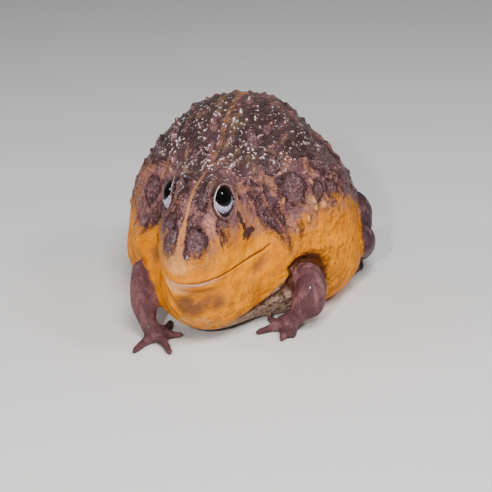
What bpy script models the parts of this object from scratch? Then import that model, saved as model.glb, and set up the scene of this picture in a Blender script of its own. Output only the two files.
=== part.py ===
"""African bullfrog, a still life-size model of a puffed-up male that sits on the floor.

Metres, +Z up. The frog faces -Y, its left side is +X, and the origin is on the floor under the belly.
"""

import math
import random

import bmesh
import bpy
from mathutils import Matrix, Vector

# Clearances and finish
GAP = 0.0003
SEED = 7

# Trunk: every point of it lies on a ray from the heart, out to where the last of these forms ends.
# Each form is a centre, its reach (side, front, back, up, down) from there, and a nose-down tilt in degrees.
HEART = Vector((0.0, -0.030, 0.044))
BLEND = 16
TRUNK_FORMS = {
    "body": ((0.0, 0.002, 0.030), (0.0685, 0.058, 0.072, 0.086, 0.041), 0),
    "flank": ((0.0, 0.000, 0.022), (0.0680, 0.058, 0.060, 0.034, 0.032), 0),
    "cheeks": ((0.0, -0.030, 0.050), (0.0325, 0.045, 0.050, 0.036, 0.030), 0),
    "skull": ((0.0, -0.052, 0.064), (0.0240, 0.052, 0.045, 0.027, 0.027), 18),
    "snout": ((0.0, -0.015, 0.050), (0.0285, 0.087, 0.060, 0.020, 0.024), 0),
    "throat": ((0.0, -0.030, 0.028), (0.0340, 0.065, 0.050, 0.024, 0.032), 0),
    "pouch": ((0.0, -0.034, 0.034), (0.0440, 0.038, 0.045, 0.024, 0.022), 0),
}
TRUNK_AROUND = 60
TRUNK_RINGS = 32
FRONT_CROWDING = 0.35

# Mouth
MOUTH_FRONT = Vector((0.0, -0.1016, 0.0429))
MOUTH_CORNER = Vector((0.0312, -0.0461, 0.0494))
MOUTH_CURL = 1.6
NECK_Y = -0.0385

# Lips: a roll above and a roll below the line of the mouth, sunk into the skin
LIP_RADIUS = 0.0017
LIP_OFFSET = 0.0020
LIP_SUNK = 0.0004
LIP_TURN = 60
LIP_STEPS = 16

# Nostrils, ears and the fold of skin from each eye over the ear to the shoulder
NOSTRIL = Vector((0.0072, -0.0600, 0.0700))
NOSTRIL_HALF = (0.0011, 0.0016, 0.0016)
EAR = Vector((0.0050, -0.0485, 0.0725))
EAR_RADIUS = 0.0056
EAR_RIM = 0.0010
FOLD_PATH = (
    (-0.0600, 0.0835),
    (-0.0505, 0.0820),
    (-0.0430, 0.0775),
    (-0.0407, 0.0705),
    (-0.0405, 0.0625),
    (-0.0410, 0.0540),
)
FOLD_RADIUS = 0.0017

# Ridges of skin: rows at these angles off the midline, each row from the head over the back to the rump
RIDGE_ROWS = (8, 21, 34, 47, 61)
RIDGE_CLIMB = (66, 166)
RIDGE_CLIMB_BEHIND_EAR = 86
RIDGES_ON_TOP = 8
RIDGE_HALF = (0.0080, 0.0022, 0.0024)
RIDGE_SUNK = 0.0012

# Eyes
EYE_CENTRE = Vector((0.0105, -0.070, 0.0790))
EYE_HALF = Vector((0.0085, 0.0088, 0.0100))
EYE_OUT = 56
EYE_UP = 12
LID_THICK = 0.0014
EYE_OPENING = (0.0074, 0.0100)
BROW_RISE = 0.0035
BROW_SPREAD = 0.011

# Arms: joint places and radii, right then left, because the frog holds them differently.
ARMS = {
    "right": {
        "shoulder": ((-0.0345, -0.052, 0.030), 0.0070),
        "elbow": ((-0.0388, -0.0668, 0.0348), 0.0036),
        "forearm": (
            ((-0.0360, -0.0725, 0.0275), 0.0058),
            ((-0.0329, -0.0763, 0.0185), 0.0074),
        ),
        "wrist": ((-0.0285, -0.083, 0.0075), 0.0042),
        "palm": ((-0.0235, -0.082, 0.0032), 0.0050),
        "fingers": (
            ((-0.0275, -0.092, 0.0022), (-0.0293, -0.1029, 0.0016)),
            ((-0.0160, -0.091, 0.0022), (-0.0096, -0.0999, 0.0016)),
            ((-0.0170, -0.080, 0.0022), (-0.0116, -0.0772, 0.0016)),
            ((-0.0215, -0.072, 0.0022), (-0.0230, -0.0630, 0.0016)),
        ),
    },
    "left": {
        "shoulder": ((0.0400, -0.036, 0.026), 0.0100),
        "elbow": ((0.0540, -0.0430, 0.0310), 0.0052),
        "forearm": (
            ((0.0545, -0.0460, 0.0245), 0.0084),
            ((0.0530, -0.0490, 0.0160), 0.0092),
        ),
        "wrist": ((0.0465, -0.0535, 0.0080), 0.0046),
        "palm": ((0.0405, -0.053, 0.0034), 0.0050),
        "fingers": (
            ((0.0470, -0.058, 0.0022), (0.0480, -0.0640, 0.0016)),
            ((0.0420, -0.060, 0.0022), (0.0436, -0.0690, 0.0016)),
            ((0.0340, -0.058, 0.0022), (0.0279, -0.0642, 0.0016)),
            ((0.0350, -0.050, 0.0022), (0.0295, -0.0465, 0.0016)),
        ),
    },
}

# Legs: folded beside the rump, the same on both sides.
LEG = {
    "hip": ((0.034, 0.056, 0.034), 0.0150),
    "thigh": ((0.054, 0.038, 0.036), 0.0150),
    "knee": ((0.066, 0.017, 0.029), 0.0095),
    "calf": ((0.060, 0.036, 0.019), 0.0115),
    "ankle": ((0.049, 0.062, 0.0090), 0.0060),
    "heel": ((0.047, 0.064, 0.0070), 0.0062),
    "instep": ((0.054, 0.048, 0.0050), 0.0068),
    "toes": (
        ((0.049, 0.036, 0.0026), (0.0480, 0.0280, 0.0018)),
        ((0.052, 0.034, 0.0026), (0.0520, 0.0240, 0.0018)),
        ((0.055, 0.035, 0.0026), (0.0562, 0.0245, 0.0018)),
        ((0.058, 0.039, 0.0026), (0.0603, 0.0300, 0.0018)),
        ((0.059, 0.045, 0.0026), (0.0625, 0.0380, 0.0018)),
    ),
}

# Skins: a colour and a roughness for each kind of sub-part
SKINS = {
    "head": ((0.20, 0.14, 0.07), 0.45),
    "lower_jaw": ((0.78, 0.40, 0.10), 0.45),
    "torso": ((0.19, 0.14, 0.08), 0.45),
    "upper_arm": ((0.28, 0.17, 0.12), 0.40),
    "forearm": ((0.26, 0.15, 0.13), 0.40),
    "hand": ((0.30, 0.18, 0.15), 0.40),
    "thigh": ((0.20, 0.14, 0.11), 0.45),
    "shank": ((0.20, 0.14, 0.11), 0.45),
    "foot": ((0.24, 0.16, 0.13), 0.45),
    "eye": ((0.03, 0.02, 0.02), 0.08),
}

SIDES = {"right": -1, "left": 1}


def new_collection(name):
    collection = bpy.data.collections.new(name)
    bpy.context.scene.collection.children.link(collection)
    return collection


def add_object(name, bm, collection):
    mesh = bpy.data.meshes.new(name)
    bm.to_mesh(mesh)
    bm.free()
    obj = bpy.data.objects.new(name, mesh)
    collection.objects.link(obj)
    if collection == CUTTERS:
        obj.hide_render = True
        obj.display_type = "WIRE"
    return obj


def paint(obj, kind):
    color, roughness = SKINS[kind]
    material = bpy.data.materials.new(obj.name)
    material.use_nodes = True
    surface = material.node_tree.nodes["Principled BSDF"]
    surface.inputs["Base Color"].default_value = (*color, 1)
    surface.inputs["Roughness"].default_value = roughness
    surface.inputs["Metallic"].default_value = 0
    material.diffuse_color = (*color, 1)
    obj.data.materials.clear()
    obj.data.materials.append(material)


def apply_modifiers(obj):
    graph = bpy.context.evaluated_depsgraph_get()
    mesh = bpy.data.meshes.new_from_object(obj.evaluated_get(graph))
    obj.modifiers.clear()
    old = obj.data
    obj.data = mesh
    bpy.data.meshes.remove(old)


def remove(obj):
    bpy.data.objects.remove(obj)


def combine(obj, other, operation):
    """Every mesh here is closed, so the manifold solver does the work and gives the same faces each time."""
    step = obj.modifiers.new(operation.title(), "BOOLEAN")
    step.operation = operation
    step.solver = "MANIFOLD"
    step.object = other
    apply_modifiers(obj)


def keep_largest(obj):
    """Leaves only the closed surface that holds the most vertices."""
    bm = bmesh.new()
    bm.from_mesh(obj.data)
    left = set(bm.verts)
    groups = []
    while left:
        group = {left.pop()}
        edge_of_group = list(group)
        while edge_of_group:
            vertex = edge_of_group.pop()
            near = {edge.other_vert(vertex) for edge in vertex.link_edges} & left
            left -= near
            group |= near
            edge_of_group.extend(near)
        groups.append(group)
    groups.sort(key=len)
    for group in groups[:-1]:
        bmesh.ops.delete(bm, geom=list(group), context="VERTS")
    bm.to_mesh(obj.data)
    bm.free()


def carve(obj, other):
    """Takes the other part out of this one, with the clearance round it."""
    cutter = other.copy()
    cutter.data = other.data.copy()
    CUTTERS.objects.link(cutter)
    swell = cutter.modifiers.new("Clearance", "DISPLACE")
    swell.strength = GAP
    swell.mid_level = 0
    apply_modifiers(cutter)
    combine(obj, cutter, "DIFFERENCE")
    remove(cutter)
    keep_largest(obj)


def form_reach(direction, form):
    """How far along a ray from the heart one form ends. A form has four quarters, each of its own size."""
    centre, (side, front, back, up, down), tilt = form
    turn = Matrix.Rotation(math.radians(-tilt), 3, "X")
    start = turn @ (HEART - Vector(centre))
    step = turn @ direction
    for length, way in ((front, -1), (back, 1)):
        for height, rise in ((up, 1), (down, -1)):
            scale = Matrix.Diagonal((1 / side, 1 / length, 1 / height))
            unit_start = scale @ start
            unit_step = scale @ step
            a = unit_step.dot(unit_step)
            b = unit_start.dot(unit_step)
            c = unit_start.dot(unit_start) - 1
            reach = (math.sqrt(max(b * b - a * c, 0)) - b) / a
            end = start + step * reach
            if end.y * way >= 0 and end.z * rise >= 0:
                return reach
    return 0.0


def trunk_point(direction):
    """The trunk's surface along a ray from the heart, swollen a little round each eye."""
    direction = direction.normalized()
    total = sum(form_reach(direction, form) ** BLEND for form in TRUNK_FORMS.values())
    point = HEART + direction * total ** (1 / BLEND)
    rise = 0.0
    for side in SIDES.values():
        eye = Vector((side * EYE_CENTRE.x, EYE_CENTRE.y, EYE_CENTRE.z))
        rise += BROW_RISE * math.exp(-(((point - eye).length / BROW_SPREAD) ** 2))
    return point + direction * rise


def onto_trunk(inside, outward):
    """The place where a straight way out from a point inside the trunk meets its surface."""
    near, far = 0.0, 0.12
    for _ in range(18):
        middle = (near + far) / 2
        spoke = inside + outward * middle - HEART
        if spoke.length < (trunk_point(spoke) - HEART).length:
            near = middle
        else:
            far = middle
    return inside + outward * near


def surface_normal(point):
    spoke = (point - HEART).normalized()
    side = spoke.orthogonal() * 0.02
    up = spoke.cross(side)
    across = trunk_point(spoke + side) - trunk_point(spoke - side)
    climb = trunk_point(spoke + up) - trunk_point(spoke - up)
    normal = across.cross(climb).normalized()
    return normal if normal.dot(spoke) > 0 else -normal


def surface_place(point, along):
    """A frame on the trunk: X as near to the given way as the surface allows, Z straight out."""
    out = surface_normal(point)
    ahead = (along - out * along.dot(out)).normalized()
    turn = Matrix((ahead, out.cross(ahead), out)).transposed().to_4x4()
    return Matrix.Translation(point) @ turn


def make_trunk(collection):
    bm = bmesh.new()
    bmesh.ops.create_uvsphere(bm, u_segments=TRUNK_AROUND, v_segments=TRUNK_RINGS, radius=1)
    for vertex in bm.verts:
        flat = math.hypot(vertex.co.x, vertex.co.y)
        turn = math.atan2(vertex.co.x, -vertex.co.y)
        turn -= FRONT_CROWDING * math.sin(turn)
        direction = Vector((flat * math.sin(turn), -flat * math.cos(turn), vertex.co.z))
        vertex.co = trunk_point(direction)
    return add_object("trunk", bm, collection)


def mouth_height(y):
    along = (y - MOUTH_FRONT.y) / (MOUTH_CORNER.y - MOUTH_FRONT.y)
    rise = MOUTH_CORNER.z - MOUTH_FRONT.z
    return MOUTH_FRONT.z + rise * max(along, 0) ** MOUTH_CURL


def mouth_point(turn):
    """Where the line of the mouth lies on the trunk, at an angle off straight ahead."""
    outward = Vector((math.sin(turn), -math.cos(turn), 0))
    point = MOUTH_FRONT
    for _ in range(6):
        point = onto_trunk(Vector((0, HEART.y, mouth_height(point.y))), outward)
    return point


def make_roll(name, path, radius, collection, sides=6):
    """A soft roll of skin along a path, thinner towards both ends."""
    bm = bmesh.new()
    rings = []
    for index, point in enumerate(path):
        before = path[max(index - 1, 0)]
        after = path[min(index + 1, len(path) - 1)]
        share = index / (len(path) - 1)
        size = radius * (0.45 + 0.55 * math.sin(math.pi * share) ** 0.5)
        place = surface_place(point, after - before)
        place.translation = point
        ring = []
        for step in range(sides):
            angle = 2 * math.pi * step / sides
            ring.append(bm.verts.new(place @ Vector((0, size * math.cos(angle), size * math.sin(angle)))))
        rings.append(ring)
    for ring, following in zip(rings, rings[1:]):
        for step in range(sides):
            ahead = (step + 1) % sides
            bm.faces.new((ring[step], ring[ahead], following[ahead], following[step]))
    bm.faces.new(rings[0])
    bm.faces.new(rings[-1])
    bmesh.ops.recalc_face_normals(bm, faces=bm.faces[:])
    return add_object(name, bm, collection)


def make_lips(collection):
    for name, offset in (("upper lip", LIP_OFFSET), ("lower lip", -LIP_OFFSET)):
        path = []
        for step in range(LIP_STEPS + 1):
            turn = math.radians(LIP_TURN * (2 * step / LIP_STEPS - 1))
            spoke = mouth_point(turn) + Vector((0, 0, offset)) - HEART
            point = trunk_point(spoke)
            path.append(point - surface_normal(point) * LIP_SUNK)
        make_roll(name, path, LIP_RADIUS, collection)


def make_ear(side, collection):
    """The raised rim round the ear drum."""
    outward = Vector((side, 0, 0))
    place = surface_place(onto_trunk(Vector((side * EAR.x, EAR.y, EAR.z)), outward), Vector((0, -1, 0)))
    rim_steps = 14
    path = []
    for step in range(rim_steps):
        angle = 2 * math.pi * step / rim_steps
        spot = place @ Vector((EAR_RADIUS * math.cos(angle), EAR_RADIUS * math.sin(angle), 0))
        path.append(trunk_point(spot - HEART))
    bm = bmesh.new()
    rings = []
    for index, point in enumerate(path):
        around = path[(index + 1) % rim_steps] - path[index - 1]
        spot_place = surface_place(point, around)
        ring = []
        for step in range(5):
            angle = 2 * math.pi * step / 5
            corner = Vector((0, EAR_RIM * math.cos(angle), EAR_RIM * math.sin(angle)))
            ring.append(bm.verts.new(spot_place @ corner))
        rings.append(ring)
    for index, ring in enumerate(rings):
        following = rings[(index + 1) % rim_steps]
        for step in range(5):
            ahead = (step + 1) % 5
            bm.faces.new((ring[step], ring[ahead], following[ahead], following[step]))
    bmesh.ops.recalc_face_normals(bm, faces=bm.faces[:])
    add_object("ear rim", bm, collection)


def make_fold(side, collection):
    path = []
    for y, z in FOLD_PATH:
        point = onto_trunk(Vector((0, y, z)), Vector((side, 0, 0)))
        path.append(point - surface_normal(point) * FOLD_RADIUS * 0.4)
    make_roll("ear fold", path, FOLD_RADIUS, collection)


def make_ridges(collection):
    """Rows of short ridges of skin along the back, each a little different from the next."""
    draw = random.Random(SEED)
    for off in RIDGE_ROWS:
        first, last = RIDGE_CLIMB
        if off > 40:
            first = RIDGE_CLIMB_BEHIND_EAR
        count = round(RIDGES_ON_TOP * math.cos(math.radians(off)) * (last - first) / 100) + 1
        for side in SIDES.values():
            for index in range(count):
                climb = math.radians(first + (last - first) * (index + draw.uniform(-0.2, 0.2)) / (count - 1))
                lean = math.radians(off + draw.uniform(-2.5, 2.5))
                flat = math.cos(lean)
                spoke = Vector((side * math.sin(lean), -flat * math.cos(climb), flat * math.sin(climb)))
                along = Vector((draw.uniform(-0.15, 0.15), flat * math.sin(climb), flat * math.cos(climb)))
                place = surface_place(trunk_point(spoke), along)
                place = place @ Matrix.Translation((0, 0, -RIDGE_SUNK))
                half = Vector(RIDGE_HALF) * draw.uniform(0.8, 1.15)
                make_ball("ridge", half, place, collection, around=6, rings=4)


def unite(obj, collection):
    """Joins all the pieces in a collection to the object and takes the pieces away."""
    step = obj.modifiers.new("Union", "BOOLEAN")
    step.operation = "UNION"
    step.solver = "MANIFOLD"
    step.operand_type = "COLLECTION"
    step.collection = collection
    apply_modifiers(obj)
    for piece in list(collection.objects):
        remove(piece)


def make_mouth_sheet():
    """A thin sheet through the head along the line of the mouth."""
    bm = bmesh.new()
    bmesh.ops.create_grid(bm, x_segments=2, y_segments=24, size=0.5)
    front, back = -0.125, NECK_Y
    for vertex in bm.verts:
        y = front + (back - front) * (vertex.co.y + 0.5)
        vertex.co = Vector((vertex.co.x * 0.16, y, mouth_height(y) - GAP / 2))
    face_geometry = bmesh.ops.extrude_face_region(bm, geom=bm.faces[:])
    for item in face_geometry["geom"]:
        if isinstance(item, bmesh.types.BMVert):
            item.co.z += GAP
    bmesh.ops.recalc_face_normals(bm, faces=bm.faces[:])
    return add_object("mouth sheet", bm, CUTTERS)


def make_box(name, low, high, collection):
    bm = bmesh.new()
    bmesh.ops.create_cube(bm, size=1)
    low, high = Vector(low), Vector(high)
    size = high - low
    bmesh.ops.scale(bm, vec=size, verts=bm.verts[:])
    bmesh.ops.translate(bm, vec=(low + high) / 2, verts=bm.verts[:])
    return add_object(name, bm, collection)


def split_loose(obj):
    """The closed pieces of an object, each as an object."""
    bpy.ops.object.select_all(action="DESELECT")
    obj.select_set(True)
    bpy.context.view_layer.objects.active = obj
    bpy.ops.mesh.separate(type="LOOSE")
    return list(bpy.context.selected_objects)


def eye_frame(side):
    """The eye's own axes in the world: out along its gaze, along its slit, and up."""
    out = math.radians(EYE_OUT)
    up = math.radians(EYE_UP)
    gaze = Vector((side * math.sin(out) * math.cos(up), -math.cos(out) * math.cos(up), math.sin(up)))
    along = Vector((0, 0, 1)).cross(gaze).normalized()
    lift = gaze.cross(along)
    turn = Matrix((gaze, along, lift)).transposed().to_4x4()
    centre = Vector((side * EYE_CENTRE.x, EYE_CENTRE.y, EYE_CENTRE.z))
    return Matrix.Translation(centre) @ turn


def make_ball(name, half, place, collection, around=18, rings=12):
    bm = bmesh.new()
    bmesh.ops.create_uvsphere(bm, u_segments=around, v_segments=rings, radius=1)
    bmesh.ops.scale(bm, vec=half, verts=bm.verts[:])
    bmesh.ops.transform(bm, matrix=place, verts=bm.verts[:])
    return add_object(name, bm, collection)


def make_opening(side):
    """The almond-shaped hole between the lids, a cone that widens outwards."""
    bm = bmesh.new()
    bmesh.ops.create_cone(
        bm, cap_ends=True, segments=24, radius1=0.6, radius2=1.25, depth=2 * EYE_HALF.x
    )
    bmesh.ops.rotate(bm, matrix=Matrix.Rotation(math.radians(90), 3, "Y"), verts=bm.verts[:])
    bmesh.ops.translate(bm, vec=(EYE_HALF.x, 0, 0), verts=bm.verts[:])
    bmesh.ops.scale(bm, vec=(1, EYE_OPENING[0], EYE_OPENING[1]), verts=bm.verts[:])
    bmesh.ops.transform(bm, matrix=eye_frame(side), verts=bm.verts[:])
    bmesh.ops.recalc_face_normals(bm, faces=bm.faces[:])
    return add_object("opening", bm, CUTTERS)


def add_round_cone(bm, start, start_radius, end, end_radius):
    """A ball at each end and a cone between them."""
    start, end = Vector(start), Vector(end)
    for centre, radius in ((start, start_radius), (end, end_radius)):
        bmesh.ops.create_uvsphere(
            bm, u_segments=20, v_segments=12, radius=radius, matrix=Matrix.Translation(centre)
        )
    axis = end - start
    place = Matrix.Translation((start + end) / 2) @ axis.to_track_quat("Z", "Y").to_matrix().to_4x4()
    bmesh.ops.create_cone(
        bm,
        cap_ends=True,
        segments=20,
        radius1=start_radius,
        radius2=end_radius,
        depth=axis.length,
        matrix=place,
    )


def make_flesh(name, chains, voxel, rounds, triangles, collection):
    """One smooth closed form over chains of (place, radius) pairs."""
    bm = bmesh.new()
    for chain in chains:
        for (start, start_radius), (end, end_radius) in zip(chain, chain[1:]):
            add_round_cone(bm, start, start_radius, end, end_radius)
    obj = add_object(name, bm, collection)
    remesh = obj.modifiers.new("Remesh", "REMESH")
    remesh.mode = "VOXEL"
    remesh.voxel_size = voxel
    smooth = obj.modifiers.new("Smooth", "SMOOTH")
    smooth.factor = 0.5
    smooth.iterations = rounds
    apply_modifiers(obj)
    thin = obj.modifiers.new("Decimate", "DECIMATE")
    thin.ratio = triangles / (2 * len(obj.data.polygons))
    apply_modifiers(obj)
    return obj


def mirrored(place, side):
    return (place[0] * side, place[1], place[2])


def make_arm(side_name):
    arm = ARMS[side_name]
    palm, palm_radius = arm["palm"]
    hand_chains = [[arm["wrist"], arm["palm"]]]
    for knuckle, tip in arm["fingers"]:
        hand_chains.append([(palm, palm_radius * 0.8), (knuckle, 0.0024), (tip, 0.0018)])
    hand = make_flesh(f"hand_{side_name}", hand_chains, 0.0009, 3, 500, FROG)
    forearm_chain = [arm["elbow"], *arm["forearm"], arm["wrist"]]
    forearm = make_flesh(f"forearm_{side_name}", [forearm_chain], 0.0012, 4, 260, FROG)
    upper_chain = [arm["shoulder"], arm["elbow"]]
    upper_arm = make_flesh(f"upper_arm_{side_name}", [upper_chain], 0.0014, 4, 160, FROG)
    return hand, forearm, upper_arm


def make_leg(side_name):
    side = SIDES[side_name]

    def at(joint, shrink=0.0):
        place, radius = LEG[joint]
        return mirrored(place, side), radius - shrink

    instep, instep_radius = at("instep")
    foot_chains = [[at("heel"), at("instep")]]
    for knuckle, tip in LEG["toes"]:
        knuckle, tip = mirrored(knuckle, side), mirrored(tip, side)
        foot_chains.append([(instep, instep_radius * 0.8), (knuckle, 0.0030), (tip, 0.0020)])
    foot = make_flesh(f"foot_{side_name}", foot_chains, 0.0011, 3, 420, FROG)
    shank_chain = [at("knee"), at("calf"), at("ankle")]
    shank = make_flesh(f"shank_{side_name}", [shank_chain], 0.0016, 5, 220, FROG)
    thigh_chain = [at("hip"), at("thigh"), at("knee", 0.0012)]
    thigh = make_flesh(f"thigh_{side_name}", [thigh_chain], 0.0018, 5, 220, FROG)
    return foot, shank, thigh


def main():
    trunk = make_trunk(FROG)
    for side in SIDES.values():
        lid_half = EYE_HALF + Vector((LID_THICK,) * 3)
        make_ball("lid", lid_half, eye_frame(side), FORMS)
        make_ear(side, FORMS)
        make_fold(side, FORMS)
    make_lips(FORMS)
    make_ridges(FORMS)
    unite(trunk, FORMS)
    for side in SIDES.values():
        place = onto_trunk(Vector((side * NOSTRIL.x, NOSTRIL.y, NOSTRIL.z)), Vector((0, -1, 0)))
        pit = make_ball("nostril", NOSTRIL_HALF, surface_place(place, Vector((side, 0, 0))), CUTTERS, 10, 6)
        combine(trunk, pit, "DIFFERENCE")
        remove(pit)
    sheet = make_mouth_sheet()
    neck = make_box("neck", (-0.1, NECK_Y - GAP / 2, -0.05), (0.1, NECK_Y + GAP / 2, 0.15), CUTTERS)
    combine(neck, sheet, "UNION")
    combine(trunk, neck, "DIFFERENCE")
    remove(sheet)
    remove(neck)

    pieces = sorted(split_loose(trunk), key=lambda piece: len(piece.data.vertices))
    for scrap in pieces[:-3]:
        remove(scrap)
    named = {}
    for piece in pieces[-3:]:
        places = [vertex.co for vertex in piece.data.vertices]
        middle = sum(places, Vector()) / len(places)
        if middle.y > NECK_Y:
            name = "torso"
        elif middle.z > MOUTH_FRONT.z + 0.01:
            name = "head"
        else:
            name = "lower_jaw"
        piece.name = name
        named[name] = piece

    eyes = []
    for side_name, side in SIDES.items():
        eye = make_ball(f"eye_{side_name}", EYE_HALF, eye_frame(side), FROG)
        opening = make_opening(side)
        combine(named["head"], opening, "DIFFERENCE")
        remove(opening)
        carve(named["head"], eye)
        eyes.append(eye)

    for side_name in SIDES:
        for limb in (make_arm(side_name), make_leg(side_name)):
            for piece in limb:
                carve(named["torso"], piece)
                carve(named["lower_jaw"], piece)
            tip, middle, root = limb
            carve(middle, tip)
            carve(root, tip)
            carve(root, middle)

    floor = make_box("floor", (-0.3, -0.3, -0.1), (0.3, 0.3, 0), CUTTERS)
    for obj in FROG.objects:
        combine(obj, floor, "DIFFERENCE")
        keep_largest(obj)
        paint(obj, obj.name.removesuffix("_left").removesuffix("_right"))
    remove(floor)


for obj in list(bpy.data.objects):
    bpy.data.objects.remove(obj)
FROG = new_collection("african bullfrog")
CUTTERS = new_collection("cutters")
FORMS = new_collection("forms")
main()
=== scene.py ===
"""African bullfrog: a puffed-up male that sits, dressed over its solids. Metres, +Z up, it faces -Y."""

import math
import random

import bmesh
import bpy
import numpy as np
from mathutils import Matrix, Vector
from mathutils.bvhtree import BVHTree
from mathutils.kdtree import KDTree


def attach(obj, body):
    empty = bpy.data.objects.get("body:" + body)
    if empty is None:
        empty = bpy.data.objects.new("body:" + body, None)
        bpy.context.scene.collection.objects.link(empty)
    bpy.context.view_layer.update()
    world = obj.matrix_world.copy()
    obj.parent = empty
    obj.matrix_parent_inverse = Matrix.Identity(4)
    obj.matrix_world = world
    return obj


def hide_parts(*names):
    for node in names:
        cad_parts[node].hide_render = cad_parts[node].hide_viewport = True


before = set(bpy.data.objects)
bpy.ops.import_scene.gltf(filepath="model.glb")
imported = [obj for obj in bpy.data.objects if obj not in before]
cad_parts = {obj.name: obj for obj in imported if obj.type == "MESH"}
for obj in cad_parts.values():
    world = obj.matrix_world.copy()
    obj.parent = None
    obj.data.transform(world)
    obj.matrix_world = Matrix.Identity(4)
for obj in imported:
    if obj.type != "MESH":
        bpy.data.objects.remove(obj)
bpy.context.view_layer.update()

# Skin: one moist, elastic hide from the snout to the toes, with no seam where one body part meets the next.
# It starts as a copy of the solids, grown enough to close the gaps between them, melted into one surface
# and smoothed, the body far more than the small hands and feet.
SEAM_GROWTH = 0.00028
BODY_VOXEL = 0.0012
LIMB_VOXEL = 0.0007
SKIN_VOXEL = 0.0015
LIMB_GROWTH = SEAM_GROWTH * 1.5
BODY_SMOOTHING = 56
EYE_SMOOTHING = 9
LIMB_SMOOTHING = 5
SKIN_SMOOTHING = 2
EYE_CALM = 0.015
EYE_CENTRE = Vector((0.0105, -0.070, 0.0790))
EYE_HALF = Vector((0.0089, 0.0090, 0.0102))
EYE_SHIFT = {-1: Vector((-0.0010, 0, 0.0010)), 1: Vector((-0.0012, 0, 0))}
SIDES = (-1, 1)
ARM_PARTS = ("upper", "forearm", "hand")
LEG_PARTS = ("thigh", "shank", "foot")

node_names = sorted(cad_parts)
limb_nodes = [name for name in node_names if name.startswith(ARM_PARTS + LEG_PARTS)]
trunk_nodes = [name for name in node_names if name not in limb_nodes]
flesh_nodes = [name for name in node_names if not name.startswith("eye")]


def copy_solids(names, growth):
    bm = bmesh.new()
    for name in names:
        bm.from_mesh(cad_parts[name].data)
    bmesh.ops.remove_doubles(bm, verts=bm.verts[:], dist=1e-6)
    bm.normal_update()
    for vertex in bm.verts:
        vertex.co += vertex.normal * growth
    return bm


def melt(bm, voxel):
    """The same form as one closed surface of even small faces."""
    mesh = bpy.data.meshes.new("melt")
    bm.to_mesh(mesh)
    bm.free()
    obj = bpy.data.objects.new("melt", mesh)
    bpy.context.scene.collection.objects.link(obj)
    remesh = obj.modifiers.new("Remesh", "REMESH")
    remesh.mode = "VOXEL"
    remesh.voxel_size = voxel
    melted = bpy.data.meshes.new_from_object(obj.evaluated_get(bpy.context.evaluated_depsgraph_get()))
    bpy.data.objects.remove(obj)
    bpy.data.meshes.remove(mesh)
    bm = bmesh.new()
    bm.from_mesh(melted)
    bpy.data.meshes.remove(melted)
    return bm


def relax(bm, verts, rounds):
    for _ in range(rounds):
        bmesh.ops.smooth_vert(
            bm, verts=verts, factor=0.5, use_axis_x=True, use_axis_y=True, use_axis_z=True
        )


def eye_centre(side):
    return Vector((side * EYE_CENTRE.x, EYE_CENTRE.y, EYE_CENTRE.z)) + EYE_SHIFT[side]


def eye_distance(point):
    return min((point - eye_centre(side)).length for side in SIDES)


# Slack skin hangs from the right shoulder, between the arm and the pouch: balls melted into one soft fold.
SLACK = (
    ((-0.0475, -0.0370, 0.0480), 0.0070),
    ((-0.0460, -0.0400, 0.0430), 0.0080),
    ((-0.0455, -0.0400, 0.0370), 0.0085),
    ((-0.0420, -0.0460, 0.0400), 0.0080),
    ((-0.0385, -0.0510, 0.0395), 0.0075),
    ((-0.0350, -0.0560, 0.0380), 0.0070),
    ((-0.0315, -0.0610, 0.0345), 0.0070),
    ((-0.0280, -0.0655, 0.0285), 0.0065),
    ((-0.0245, -0.0690, 0.0225), 0.0060),
    ((-0.0205, -0.0715, 0.0165), 0.0055),
)
body_bm = copy_solids(trunk_nodes, SEAM_GROWTH)
for place, radius in SLACK:
    bmesh.ops.create_icosphere(body_bm, subdivisions=3, radius=radius, matrix=Matrix.Translation(place))
body_bm = melt(body_bm, BODY_VOXEL)
relax(body_bm, body_bm.verts[:], EYE_SMOOTHING)
relax(body_bm, [v for v in body_bm.verts if eye_distance(v.co) > EYE_CALM], BODY_SMOOTHING - EYE_SMOOTHING)
limb_bm = melt(copy_solids(limb_nodes, LIMB_GROWTH), LIMB_VOXEL)
relax(limb_bm, limb_bm.verts[:], LIMB_SMOOTHING)
limb_mesh = bpy.data.meshes.new("limbs")
limb_bm.to_mesh(limb_mesh)
limb_bm.free()
body_bm.from_mesh(limb_mesh)
bpy.data.meshes.remove(limb_mesh)
skin_bm = melt(body_bm, SKIN_VOXEL)
relax(skin_bm, skin_bm.verts[:], SKIN_SMOOTHING)

# The finer parts of the skin, the head, the top of the back, the eyes and the mouth, get smaller faces.
MOUTH_FRONT = Vector((0.0, -0.1016, 0.0429))
MOUTH_CORNER = Vector((0.0312, -0.0461, 0.0494))
MOUTH_CURL = 1.6
CORNER_LIFT = 0.0012
EYE_REGION = 0.0130
MOUTH_REGION = 0.0030
THROAT_TOP = 0.034
HEAD_BACK = -0.044
WET_BACK_FROM = 0.089


def mouth_height(y):
    along = np.clip((y - MOUTH_FRONT.y) / (MOUTH_CORNER.y - MOUTH_FRONT.y), 0, None)
    curl = CORNER_LIFT * np.clip((y + 0.056) / 0.005, 0, 1)
    return MOUTH_FRONT.z + (MOUTH_CORNER.z - MOUTH_FRONT.z) * along**MOUTH_CURL + curl


def refine(bm, inside):
    faces = [face for face in bm.faces if inside(face.calc_center_median())]
    edges = list({edge for face in faces for edge in face.edges})
    bmesh.ops.subdivide_edges(bm, edges=edges, cuts=1, use_grid_fill=True)
    faces = [face for face in bm.faces if inside(face.calc_center_median())]
    relax(bm, list({vertex for face in faces for vertex in face.verts}), 1)


def on_head(p):
    if p.z < THROAT_TOP:
        return p.y < -0.064 and abs(p.x) < 0.030 and p.z > 0.010
    return p.y < HEAD_BACK and abs(p.x) < 0.040


def on_wet_back(p):
    return p.z > WET_BACK_FROM and p.y < 0.004


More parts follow.
